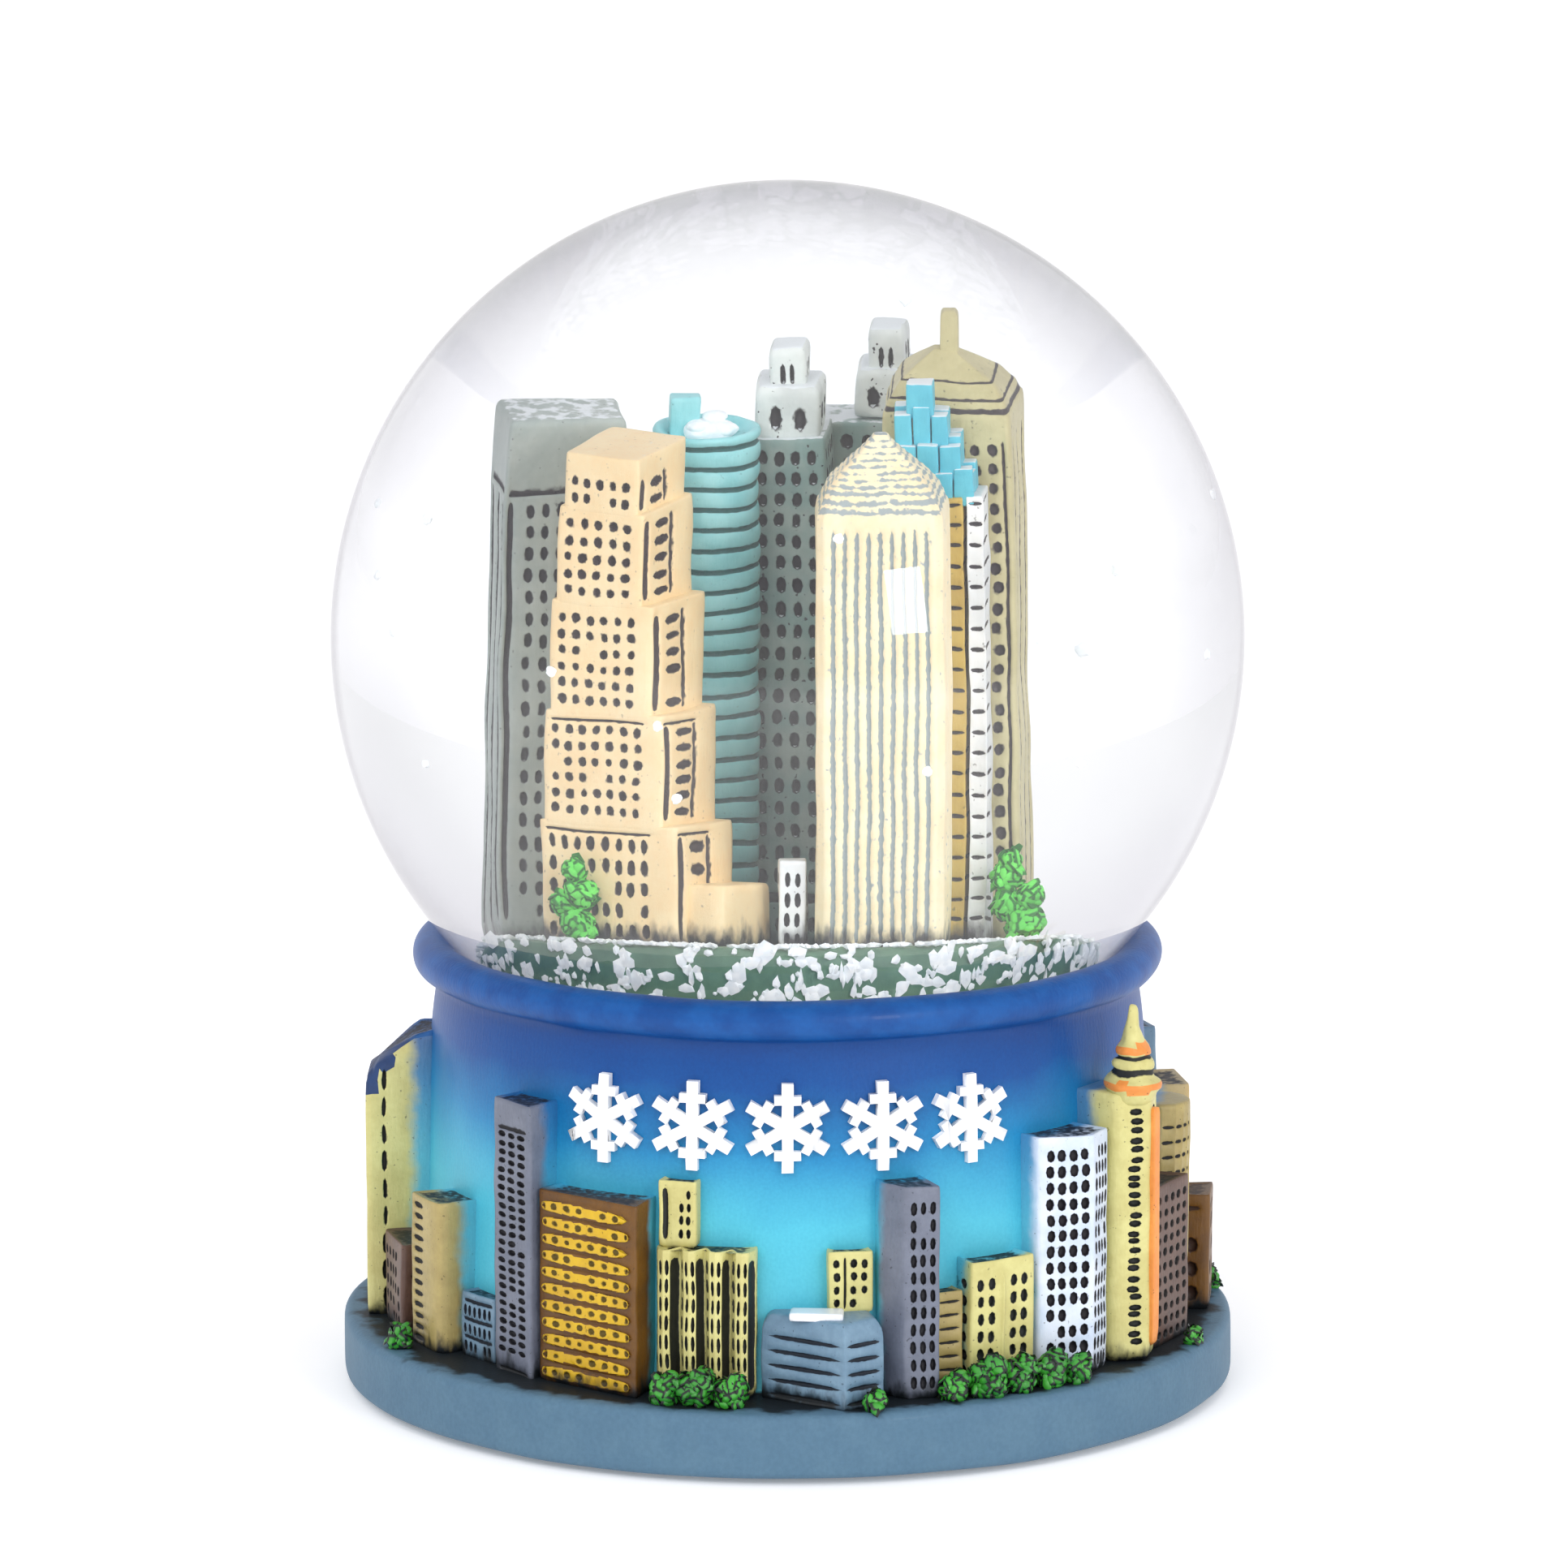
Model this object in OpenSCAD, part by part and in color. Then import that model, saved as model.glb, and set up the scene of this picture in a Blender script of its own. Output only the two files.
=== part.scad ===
// Water globe with a city skyline under the glass and a relief skyline round its base.
// Millimetres, +Z up. The origin is the centre of the underside and the front faces -Y.
// Azimuths are in degrees from the front, positive towards +X.

/* [Globe] */
// Outer diameter of the glass globe
globe_d = 65; // [54:0.5:80]
// Thickness of the glass
glass_t = 1.5; // [1:0.1:2.5]
// Outer diameter of the glass neck
neck_d = 37; // [30:0.5:45]
// Length of the neck below the inside of the globe
neck_h = 7.7; // [5:0.1:9]
// Thickness of the adhesive between the glass and its seat
seat_gap = 0.35; // [0.2:0.05:0.6]

/* [Base] */
// Diameter of the drum at mid height
drum_d = 51.4; // [42:0.2:64]
// Height of the drum from the plinth to the rim bead
drum_h = 24.8; // [20:0.2:34]
// How far the drum flares out at its foot
drum_flare = 0.5; // [0:0.1:1.5]
// How far the drum draws in under the rim bead
drum_tuck = 0.7; // [0:0.1:1.5]
// Thickness of the round rim bead
bead_d = 2.9; // [2:0.1:4]
// Height of the plinth's top above the table
plinth_h = 5; // [4:0.1:8]
// Width of the ledge between the drum's foot and the plinth's edge
ledge_w = 5.8; // [5:0.1:8]
// Radius of the plinth's rounded edges
plinth_round = 0.7; // [0.3:0.1:1.2]
// Clearance round the glass neck in its socket
socket_gap = 0.5; // [0.3:0.1:1]

/* [Pad] */
// Thickness of the foam pad
pad_t = 1.3; // [1:0.1:2]
// How far the pad stands below the base casting
pad_proud = 0.4; // [0.2:0.1:0.6]
// Distance from the pad's edge to the plinth's edge
pad_inset = 4; // [3:0.1:8]

/* [Stopper and mound] */
// Height of the stopper's plug inside the neck
plug_h = 9; // [6:0.1:11]
// Thickness of the stopper's flange under the neck
flange_t = 3.6; // [2:0.1:5]
// Height of the mound that carries the skyline
mound_h = 8; // [5:0.1:10]
// Clearance between the mound and the neck
mound_gap = 0.5; // [0.3:0.1:1]
// Thickness of the settled snow
snow_t = 0.35; // [0.2:0.05:0.6]

/* [Skyline under the glass] */
// Width, depth and height of the grey slab tower
slab_size = [6.6, 4.7, 28.6]; // [3:0.1:34]
// Width, depth and height of the stepped tower's top tier
stepped_size = [4.9, 6.6, 28.6]; // [3:0.1:34]
// Radius and height of the round tower
round_size = [2.85, 27.5]; // [2:0.05:34]
// Width, depth and height of the twin-crowned tower's front block
twin_size = [3.9, 4.5, 26.3]; // [3:0.1:34]
// Width, depth and shoulder height of the ribbed tower
ribbed_size = [7.5, 6, 25]; // [3:0.1:34]
// Width, depth and shaft height of the cube-topped tower
cube_size = [5.2, 3.4, 25]; // [3:0.1:34]
// Width, depth and shaft height of the spire tower
spire_size = [7.1, 5.8, 28.7]; // [3:0.1:34]
// Width, depth and height of the low annex
annex_size = [1.6, 3.3, 5.2]; // [1:0.1:10]

/* [Relief skyline, front] */
// Height of the pale tower at the left side
west_tower_h = 20.8; // [10:0.1:22]
// Height of the brown block beside it
brown_block_h = 6.6; // [4:0.1:20]
// Height of the tower with balcony fins
fin_tower_h = 10.8; // [4:0.1:20]
// Height of the low grey-blue wing
low_wing_h = 4.6; // [3:0.1:20]
// Height of the tall grey slab
tall_slab_h = 19.4; // [8:0.1:22]
// Height of the amber block
amber_block_h = 13.6; // [6:0.1:20]
// Height of the block with rounded lobes
lobed_block_h = 10.4; // [6:0.1:16]
// Height of the turret on the lobed block
turret_h = 4.6; // [3:0.1:5]
// Height of the terraced hall
terraced_hall_h = 6; // [4:0.1:12]
// Height of the cream annex on the terraced hall
cream_annex_h = 4.2; // [2:0.1:8]
// Height of the grey tower
grey_tower_h = 15; // [6:0.1:20]
// Height of the low khaki annex
khaki_annex_h = 7; // [3:0.1:20]
// Height of the cream block
cream_block_h = 9; // [3:0.1:20]
// Height of the white grid tower
grid_tower_h = 17; // [6:0.1:22]
// Height of the orange-banded spire tower's shaft
orange_spire_h = 19.3; // [12:0.1:20]
// Height of the brick tower
brick_tower_h = 11.6; // [6:0.1:20]
// Height of the round-topped tower
round_top_h = 16.2; // [6:0.1:20]
// Height of the shop at the right side
corner_shop_h = 8.5; // [4:0.1:20]

/* [Relief skyline, rear] */
// Height of the rear sandstone tower
rear_sand_tower_h = 15.5; // [6:0.1:22]
// Height of the rear blue slab
rear_blue_slab_h = 18.5; // [6:0.1:22]
// Height of the rear brick hall
rear_brick_hall_h = 8; // [4:0.1:22]
// Height of the rear white tower
rear_white_tower_h = 14; // [6:0.1:22]
// Height of the rear stepped tower's lowest tier
rear_stepped_h = 7; // [5:0.1:8]
// Height of the rear gold block
rear_gold_block_h = 11.5; // [6:0.1:22]
// Height of the rear low hall
rear_low_hall_h = 5.5; // [3:0.1:22]
// Height of the rear grey tower
rear_grey_tower_h = 14.5; // [6:0.1:15]
// Height of the rear round tower
rear_round_tower_h = 12.5; // [6:0.1:22]
// Height of the rear green tower
rear_green_tower_h = 16; // [6:0.1:22]
// Height of the rear cream hall
rear_cream_hall_h = 7.5; // [4:0.1:22]
// Height of the rear tan tower
rear_tan_tower_h = 13.5; // [6:0.1:22]
// Height of the rear side block
rear_side_block_h = 10; // [5:0.1:22]

/* [Snowflake motifs] */
// Number of snowflakes at the front
flake_count = 5; // [1:1:5]
// Size of each snowflake across its points
flake_size = 6.2; // [4:0.1:6.4]
// How far the snowflakes stand out from the drum
flake_relief = 0.5; // [0.3:0.1:1]
// Width of a snowflake's arm
flake_arm = 0.8; // [0.5:0.1:1.2]
// Gap between neighbouring snowflakes
flake_gap = 0.35; // [0.2:0.05:0.8]

/* [Hidden] */
$fn = 64;

// Globe and neck
globe_r = globe_d / 2;
inner_r = globe_r - glass_t;
neck_r = neck_d / 2;
bore_r = neck_r - glass_t;

// Base casting
drum_r = drum_d / 2;
foot_r = drum_r + drum_flare;
plinth_r = foot_r + ledge_w;
bead_r = bead_d / 2;
bead_ring_r = drum_r - 0.3;
rim_z = plinth_h + drum_h;
bead_z = rim_z + bead_r - 0.15;
rim_bore_r = bead_ring_r - bead_r;
drum_steps = 8;
pad_r = plinth_r - pad_inset;

// The globe rests in the rim with the adhesive between them
globe_z = bead_z + sqrt(pow(globe_r + seat_gap, 2) - pow(rim_bore_r, 2));
neck_end_z = globe_z - sqrt(pow(inner_r, 2) - pow(bore_r, 2)) - neck_h;
socket_r = neck_r + socket_gap;
socket_floor_z = neck_end_z - flange_t;
plug_top_z = neck_end_z + plug_h;
mound_top_z = plug_top_z + mound_h;
mound_r = bore_r - mound_gap;
mound_round = 0.4;

// The skyline's own sizes suit this mound and this headroom, and follow them
skyline_mound_r = 16.5;
skyline_room = 47.6;
skyline_scale = min(mound_r / skyline_mound_r, (globe_z + inner_r - mound_top_z) / skyline_room);

// The loose flakes' places suit this inside radius, and follow it
cloud_r = 31;
cloud_scale = inner_r / cloud_r;
flake_dust_r = 0.3;

// The relief's own sizes suit this drum and this ledge, and follow them
relief_drum_h = 24.8;
relief_drum_r = 25.7;
relief_ledge_w = 5.8;
relief_rise = drum_h / relief_drum_h;
relief_spread = drum_r / relief_drum_r;
relief_reach = ledge_w / relief_ledge_w;
trim_scale = min(relief_spread, relief_reach);
hedge_share = 0.6;
hedge_spread = (foot_r + hedge_share * ledge_w)
    / (relief_drum_r + drum_flare + hedge_share * relief_ledge_w);
hedge_turn = trim_scale / hedge_spread;
relief_root = 3;
lobe_steps = 8;

// Snowflakes on the drum stay clear of the relief below them and beside them
flake_span = flake_size * min(1, relief_rise, relief_spread);
flake_pitch = (flake_span + flake_gap) / drum_r * 180 / PI;
flake_z = plinth_h + 0.755 * drum_h;

// Fronts of the relief buildings, as [azimuth, distance out from the drum's foot]
WEST_TOWER = [[-92, 4], [-82.5, 4.2]];
BROWN_BLOCK = [[-80.5, 3], [-69.5, 3]];
FIN_TOWER = [[-67, 2.7], [-58, 2.7]];
LOW_WING = [[-57, 1.2], [-48.5, 1.2]];
TALL_SLAB = [[-47.5, 1.6], [-38.6, 2.4]];
AMBER_BLOCK = [[-38, 1.8], [-20.6, 3.4]];
LOBED_BLOCK = lobed_front(-19.6, -4.6, 0.7, 1.2, 4);
CREAM_TURRET = [[-19.3, 0.8], [-13.4, 0.8]];
TERRACED_HALL = [[-3.8, 0.9], [7.3, 4.7], [12.9, 3.3]];
CREAM_ANNEX = [[6, 0.8], [12.6, 0.8]];
GREY_TOWER = [[13.5, 0.8], [16.1, 2.8], [20.9, 3.2]];
KHAKI_ANNEX = [[21.9, 1.2], [26.2, 1.2]];
CREAM_BLOCK = [[26.9, 1.8], [37.8, 1.8]];
GRID_TOWER = [[39, 1.4], [46.2, 3.2], [51, 2.5]];
ORANGE_SPIRE = [[52, 2.8], [55.8, 4.4], [60, 3.6]];
BRICK_TOWER = [[61.8, 3.1], [72.8, 3.6]];
ROUND_TOP_TOWER = lobed_front(74, 84, 1.4, 1.6, 1);
CORNER_SHOP = [[85.4, 4.2], [93, 4.6]];
REAR_SAND_TOWER = [[95, 3], [106, 3.2]];
REAR_BLUE_SLAB = [[108, 2.2], [119, 2.4]];
REAR_BRICK_HALL = [[121, 3.8], [136, 3.8]];
REAR_WHITE_TOWER = [[138, 2.6], [149, 2.8]];
REAR_STEPPED = [[151, 3.6], [167, 3.6]];
REAR_GOLD_BLOCK = [[169, 2.6], [181, 2.8]];
REAR_LOW_HALL = [[183, 3.8], [197, 3.8]];
REAR_GREY_TOWER = [[199, 2.4], [209, 2.6]];
REAR_ROUND_TOWER = lobed_front(211, 222, 0.4, 2.6, 1);
REAR_GREEN_TOWER = [[224, 2.4], [234, 2.8]];
REAR_CREAM_HALL = [[236, 3.4], [248, 3.4]];
REAR_TAN_TOWER = [[250, 2.8], [259, 3]];
REAR_SIDE_BLOCK = [[260.5, 3.6], [267, 3.4]];

// Bushes on the ledge: azimuth that the hedge starts from, turn along the hedge,
// distance out from the drum's foot, radius
FRONT_BUSHES = [
    [-64, 0, 4.2, 0.9], [-12.4, -4.1, 3.4, 1.1], [-12.4, 0, 3.2, 1.3], [-12.4, 4.8, 3.3, 1.1],
    [11, 0, 4.9, 0.7], [20.9, 1.6, 3.7, 1], [20.9, 6.6, 3.6, 1.4], [20.9, 11.6, 3.5, 1.3],
    [20.9, 16.6, 3.6, 1.2], [20.9, 20.6, 4.1, 1], [67, 0, 5, 0.6],
];
REAR_BUSHES = [
    [98, 0, 4.9, 0.7], [113.5, 0, 3.8, 1.2], [143.5, 0, 4.2, 1.1], [175, 0, 4.2, 1.1], [204, 0, 4, 1.2],
    [216.5, 0, 4.2, 1], [229, 0, 4.2, 1.1], [254.5, 0, 4.6, 0.9],
];

// Patches of settled snow on the mound: x, y, radius
SNOW_PATCHES = [
    [-9.4, -11.6, 1], [-6.6, -13.3, 1.3], [-2.4, -14.3, 1.6], [2.2, -13, 1.5], [5.6, -13.6, 1.4],
    [9.4, -11.8, 1.2], [12, -8.6, 1.1], [14.9, -1.2, 1.1], [14.2, 5.6, 1], [11.5, 9.6, 1.2],
    [3.6, 14.3, 1.3], [-2, 14, 1.6], [-6.4, 11.6, 2], [-11.4, 9.4, 1.2], [-15.2, -3.4, 0.8],
];

// Loose flakes: azimuth, distance from the axis, height from the globe's centre
RISING_FLAKES = [
    [10, 18, 9], [62, 19.5, -6], [118, 18.5, 2], [165, 20, 12], [214, 18.2, -3],
    [262, 19.6, 6], [312, 19, 0], [340, 20, -7],
];
SWIRLING_FLAKES = [
    [-75, 26.5, 5], [-68, 26.8, 2], [-60, 26.6, -6], [-20, 24, -2], [22, 23.5, -5],
    [40, 24.5, 3], [76, 26.8, 0], [104, 24, 7], [150, 25, -4], [196, 23, 4],
    [236, 25.5, -8], [270, 24, 8],
];

// ---------------------------------------------------------------- shared shapes

function polar(az, r) = [r * sin(az), -r * cos(az)];

// Front of a relief building that bulges out in round lobes
function lobed_front(az_from, az_to, out, bulge, lobes) = [
    for (i = [0:lobe_steps * lobes])
        let (t = i / (lobe_steps * lobes))
            [az_from + (az_to - az_from) * t, out + bulge * pow(abs(sin(180 * lobes * t)), 0.6)]
];

// Radius of the drum at a share of its height
function drum_radius(t) = drum_r + drum_flare * pow(1 - t, 3) - drum_tuck * pow(t, 8);

// Solid inside the drum's wall, grown by a margin
module drum_solid(grow = 0) {
    wall = [for (i = [0:drum_steps]) [drum_radius(i / drum_steps) + grow, plinth_h + drum_h * i / drum_steps]];
    rotate_extrude($fn = 96) polygon(concat([[0, plinth_h]], wall, [[0, rim_z]]));
}

// Building on the ledge that still reaches into the drum
module relief_mass(front, h, lift = 0) {
    last = len(front) - 1;
    outer = [for (p = front) polar(p[0], foot_r + p[1] * relief_reach)];
    back = [polar(front[last][0], foot_r - relief_root), polar(front[0][0], foot_r - relief_root)];
    translate([0, 0, plinth_h + lift * relief_rise])
        linear_extrude(h * relief_rise) polygon(concat(outer, back));
}

// Trims what stands on the ledge to the drum's wall
module against_drum() {
    difference() {
        union() children();
        drum_solid();
    }
}

// Building on the ledge with its back against the drum
module relief_block(front, h, lift = 0) {
    against_drum() relief_mass(front, h, lift);
}

// Box on the ledge, in a frame whose -Y points out at the given azimuth
module relief_at(az, out, lift = 0) {
    rotate([0, 0, az]) translate([0, -(foot_r + out * relief_reach), plinth_h + lift * relief_rise])
        children();
}

// Frustum on a rectangle with flat faces: base, top and height
module rect_frustum(base, top, h) {
    intersection() {
        rotate([90, 0, 0]) translate([0, 0, -base[1] / 2]) linear_extrude(base[1])
            polygon([[-base[0] / 2, 0], [base[0] / 2, 0], [top[0] / 2, h], [-top[0] / 2, h]]);
        rotate([90, 0, 90]) translate([0, 0, -base[0] / 2]) linear_extrude(base[0])
            polygon([[-base[1] / 2, 0], [base[1] / 2, 0], [top[1] / 2, h], [-top[1] / 2, h]]);
    }
}

// Boxes that share the ground: each is x0, x1, y0, y1 and its height
module tier_boxes(tiers) {
    for (t = tiers) translate([t[0], t[2], 0]) cube([t[1] - t[0], t[3] - t[2], t[4]]);
}

// Low round bush made of three leafy balls
module bush(r) {
    translate([0, 0, r * 0.55]) sphere(r, $fn = 24);
    translate([r * 0.35, 0, r * 1.25]) sphere(r * 0.75, $fn = 24);
    translate([-r * 0.4, 0, r * 1.1]) sphere(r * 0.6, $fn = 24);
}

// Tall bush of leafy balls on flat ground, each x, y, z and radius
module leafy_balls(balls) {
    difference() {
        union() for (b = balls) translate([b[0], b[1], b[2]]) sphere(b[3], $fn = 24);
        translate([-5, -5, -5]) cube([10, 10, 5]);
    }
}

// Frame on top of the mound, at the skyline's scale
module on_mound() {
    translate([0, 0, mound_top_z]) scale(skyline_scale) children();
}

// Six-armed snowflake standing in the XZ plane, thick along Y
module snowflake(size, depth) {
    rotate([90, 0, 0]) translate([0, 0, -depth / 2]) linear_extrude(depth) {
        for (a = [0:60:179]) rotate(a) square([flake_arm, size], center = true);
        for (a = [0:60:359]) rotate(a) translate([0, size * 0.31])
            square([size * 0.3, flake_arm * 0.8], center = true);
    }
}

// Snowflakes on the drum's wall, centred on an azimuth
module snowflake_band(count, az) {
    intersection() {
        difference() {
            drum_solid(flake_relief);
            drum_solid();
        }
        for (i = [0:count - 1]) rotate([0, 0, az + (i - (count - 1) / 2) * flake_pitch])
            translate([0, -drum_r, flake_z]) snowflake(flake_span, 4);
    }
}

// ---------------------------------------------------------------- base and globe

module base_casting() color("steelblue") {
    difference() {
        union() {
            rotate_extrude($fn = 96) translate([0, pad_proud]) {
                square([plinth_r - plinth_round, plinth_h - pad_proud]);
                translate([0, plinth_round]) square([plinth_r, plinth_h - pad_proud - 2 * plinth_round]);
                for (z = [plinth_round, plinth_h - pad_proud - plinth_round])
                    translate([plinth_r - plinth_round, z]) circle(plinth_round, $fn = 32);
            }
            drum_solid();
            rotate_extrude($fn = 96) translate([bead_ring_r, bead_z]) circle(bead_r, $fn = 32);
            translate([0, 0, rim_z]) cylinder(r = bead_ring_r, h = bead_z - rim_z, $fn = 96);
        }
        translate([0, 0, globe_z]) sphere(globe_r + seat_gap, $fn = 96);
        translate([0, 0, socket_floor_z]) cylinder(r = socket_r, h = drum_h + bead_d, $fn = 96);
        translate([0, 0, -1]) cylinder(r = pad_r, h = pad_t + 1, $fn = 96);
    }
}

module base_pad() color("dimgray") cylinder(r = pad_r, h = pad_t, $fn = 96);

module stopper() color("black") {
    translate([0, 0, socket_floor_z]) cylinder(r = neck_r, h = flange_t, $fn = 96);
    translate([0, 0, neck_end_z]) cylinder(r = bore_r, h = plug_h, $fn = 96);
}

module adhesive_ring() color("lightgray") {
    difference() {
        intersection() {
            translate([0, 0, globe_z]) sphere(globe_r + seat_gap, $fn = 96);
            cylinder(r = rim_bore_r, h = bead_z, $fn = 96);
        }
        translate([0, 0, globe_z]) sphere(globe_r, $fn = 96);
        cylinder(r = socket_r, h = 2 * bead_z, $fn = 96);
    }
}

module glass_globe() color("azure", 0.3) {
    difference() {
        union() {
            translate([0, 0, globe_z]) sphere(globe_r, $fn = 96);
            translate([0, 0, neck_end_z]) cylinder(r = neck_r, h = neck_h + glass_t, $fn = 96);
        }
        translate([0, 0, globe_z]) sphere(inner_r, $fn = 96);
        translate([0, 0, neck_end_z - globe_r]) cylinder(r = bore_r, h = globe_r + neck_h + 2, $fn = 96);
    }
}

module water_fill() color("lightcyan", 0.2) {
    difference() {
        union() {
            translate([0, 0, globe_z]) sphere(inner_r, $fn = 96);
            translate([0, 0, plug_top_z]) cylinder(r = bore_r, h = neck_h, $fn = 96);
        }
        translate([0, 0, plug_top_z - inner_r]) cylinder(r = inner_r, h = inner_r, $fn = 96);
        skyline_mound();
        settled_snow();
        slab_tower();
        stepped_tower();
        round_tower();
        twin_crown_tower();
        ribbed_tower();
        cube_tower();
        spire_tower();
        low_annex();
        left_bush();
        right_bush();
        rising_flakes();
        swirling_flakes();
    }
}

// ---------------------------------------------------------------- under the glass

module skyline_mound() color("darkgreen") {
    translate([0, 0, plug_top_z]) {
        cylinder(r = mound_r, h = mound_h - mound_round, $fn = 96);
        cylinder(r = mound_r - mound_round, h = mound_h, $fn = 96);
    }
}

module settled_snow() color("white") on_mound() {
    for (p = SNOW_PATCHES) translate([p[0], p[1], 0]) cylinder(r = p[2], h = snow_t, $fn = 24);
}

module slab_tower() color("lightslategray") on_mound() {
    translate([-15.4, 0.5, 0]) cube(slab_size);
}

module stepped_tower() color("burlywood") on_mound() {
    w = stepped_size[0];
    d = stepped_size[1];
    h = stepped_size[2];
    translate([-8.8, -9.5, 0]) rotate([0, 0, -30]) tier_boxes([
        [-w, 0, 0, d, h],
        [-w - 0.3, 0.4, 0, d + 0.2, h - 3.3],
        [-w - 0.6, 1.1, 0, d + 0.4, h - 8.8],
        [-w - 0.9, 1.8, 0, d + 0.6, h - 15.1],
        [-w - 1.2, 2.7, 0, d + 0.8, h - 21.5],
        [-w - 1.5, 5, 1.5, d + 0.9, h - 25],
    ]);
}

module round_tower() color("mediumturquoise") on_mound() {
    r = round_size[0];
    translate([-4.3, 3.1, 0]) {
        cylinder(r = r, h = round_size[1]);
        translate([-r * 0.7, -0.1, 0]) cube([r * 0.6, r * 0.5, round_size[1] + 1.6]);
    }
}

module twin_crown_tower() color("gray") on_mound() {
    w = twin_size[0];
    d = twin_size[1];
    h = twin_size[2];
    translate([0, 5, 0]) rotate([0, 0, -5]) tier_boxes([
        [-w / 2, w / 2, 0, d, h],
        [0.5, 6.6, d, d + 3.7, h - 0.3],
        [-1.75, 1.65, 0.4, d - 0.4, h + 2.6],
        [-1, 0.9, 1.1, d - 1.1, h + 4.5],
        [2.9, 5.9, d + 0.5, d + 3.3, h + 2.3],
        [3.5, 5.4, d + 0.9, d + 2.8, h + 4.3],
    ]);
}

module ribbed_tower() color("ivory") on_mound() {
    w = ribbed_size[0];
    d = ribbed_size[1];
    h = ribbed_size[2];
    translate([5.35, -10 + d / 2, 0]) {
        translate([-w / 2, -d / 2, 0]) cube(ribbed_size);
        translate([0, 0, h]) rect_frustum([w, d], [w - 1.4, d - 1.4], 1.6);
        translate([0, 0, h + 1.6]) rect_frustum([w - 1.4, d - 1.4], [0.2, 0.2], 3.2);
    }
}

module cube_tower() color("turquoise") on_mound() {
    w = cube_size[0];
    d = cube_size[1];
    h = cube_size[2];
    translate([5.7, -3.4, 0]) tier_boxes([
        [0, w, 0, d, h],
        [0.1, w - 0.5, 0.1, d - 0.1, h + 1.6],
        [0.2, w - 1.2, 0.3, d - 0.2, h + 3.3],
        [0.2, w - 1.9, 0.6, d - 0.4, h + 5],
        [0.9, w - 2.7, 0.9, d - 0.7, h + 6.4],
    ]);
}

module spire_tower() color("darkkhaki") on_mound() {
    w = spire_size[0];
    d = spire_size[1];
    h = spire_size[2];
    translate([8.7, 0.6 + d / 2, 0]) {
        translate([-w / 2, -d / 2, 0]) cube(spire_size);
        translate([0, 0, h]) rect_frustum([w, d], [1.6, 1.6], 2.8);
        translate([-0.55, -0.55, h]) cube([1.1, 1.1, 5.5]);
    }
}

module low_annex() color("whitesmoke") on_mound() {
    translate([-0.5, -8.4, 0]) cube(annex_size);
}

module left_bush() color("limegreen") on_mound() {
    translate([-12.3, -9, 0]) leafy_balls([
        [0, 0, 1, 1.2], [-0.7, 0.5, 2.3, 0.9], [0.3, 0, 3, 1.1], [-0.1, 0.1, 4.4, 0.8],
    ]);
}

module right_bush() color("limegreen") on_mound() {
    translate([13, -4.6, 0]) leafy_balls([
        [0.4, 0, 1, 1.3], [-0.7, 0.2, 2.3, 1], [0.6, -0.1, 2.7, 0.9], [-0.8, 0.1, 3.9, 1], [-0.6, 0, 4.8, 0.7],
    ]);
}

module loose_flakes(places) {
    for (p = places) {
        at = polar(p[0], p[1] * cloud_scale);
        translate([at[0], at[1], globe_z + p[2] * cloud_scale]) sphere(flake_dust_r, $fn = 16);
    }
}

module rising_flakes() color("white") loose_flakes(RISING_FLAKES);
module swirling_flakes() color("white") loose_flakes(SWIRLING_FLAKES);

// ---------------------------------------------------------------- relief, front

module west_tower() color("khaki") difference() {
    relief_block(WEST_TOWER, west_tower_h);
    relief_at(-87.3, 4.3, west_tower_h) rotate([38, 0, 0]) translate([-6, -4, -1.4]) cube([12, 8, 4]);
}

module brown_block() color("saddlebrown") relief_block(BROWN_BLOCK, brown_block_h);
module fin_tower() color("darkkhaki") relief_block(FIN_TOWER, fin_tower_h);
module low_wing() color("lightsteelblue") relief_block(LOW_WING, low_wing_h);
module tall_slab() color("slategray") relief_block(TALL_SLAB, tall_slab_h);
module amber_block() color("goldenrod") relief_block(AMBER_BLOCK, amber_block_h);

module lobed_block() color("palegoldenrod") relief_block(LOBED_BLOCK, lobed_block_h);
module cream_turret() color("palegoldenrod") relief_block(CREAM_TURRET, turret_h, lobed_block_h);
module terraced_hall() color("slategray") relief_block(TERRACED_HALL, terraced_hall_h);
module cream_annex() color("palegoldenrod") relief_block(CREAM_ANNEX, cream_annex_h, terraced_hall_h);
module grey_tower() color("gray") relief_block(GREY_TOWER, grey_tower_h);
module khaki_annex() color("darkkhaki") relief_block(KHAKI_ANNEX, khaki_annex_h);
module cream_block() color("khaki") relief_block(CREAM_BLOCK, cream_block_h);
module grid_tower() color("white") relief_block(GRID_TOWER, grid_tower_h);

module orange_spire() color("sandybrown") {
    root = 1;
    relief_block(ORANGE_SPIRE, orange_spire_h);
    relief_at(56, 2.8, orange_spire_h - root) {
        cylinder(r = 1.8, h = (root + 1.9) * relief_rise, $fn = 32);
        cylinder(r = 1.2, h = (root + 3.4) * relief_rise, $fn = 32);
        cylinder(r1 = 1, r2 = 0.35, h = (root + 6) * relief_rise, $fn = 32);
    }
}

module brick_tower() color("rosybrown") relief_block(BRICK_TOWER, brick_tower_h);
module round_top_tower() color("cadetblue") relief_block(ROUND_TOP_TOWER, round_top_h);
module corner_shop() color("peru") relief_block(CORNER_SHOP, corner_shop_h);

// ---------------------------------------------------------------- relief, rear

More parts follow.
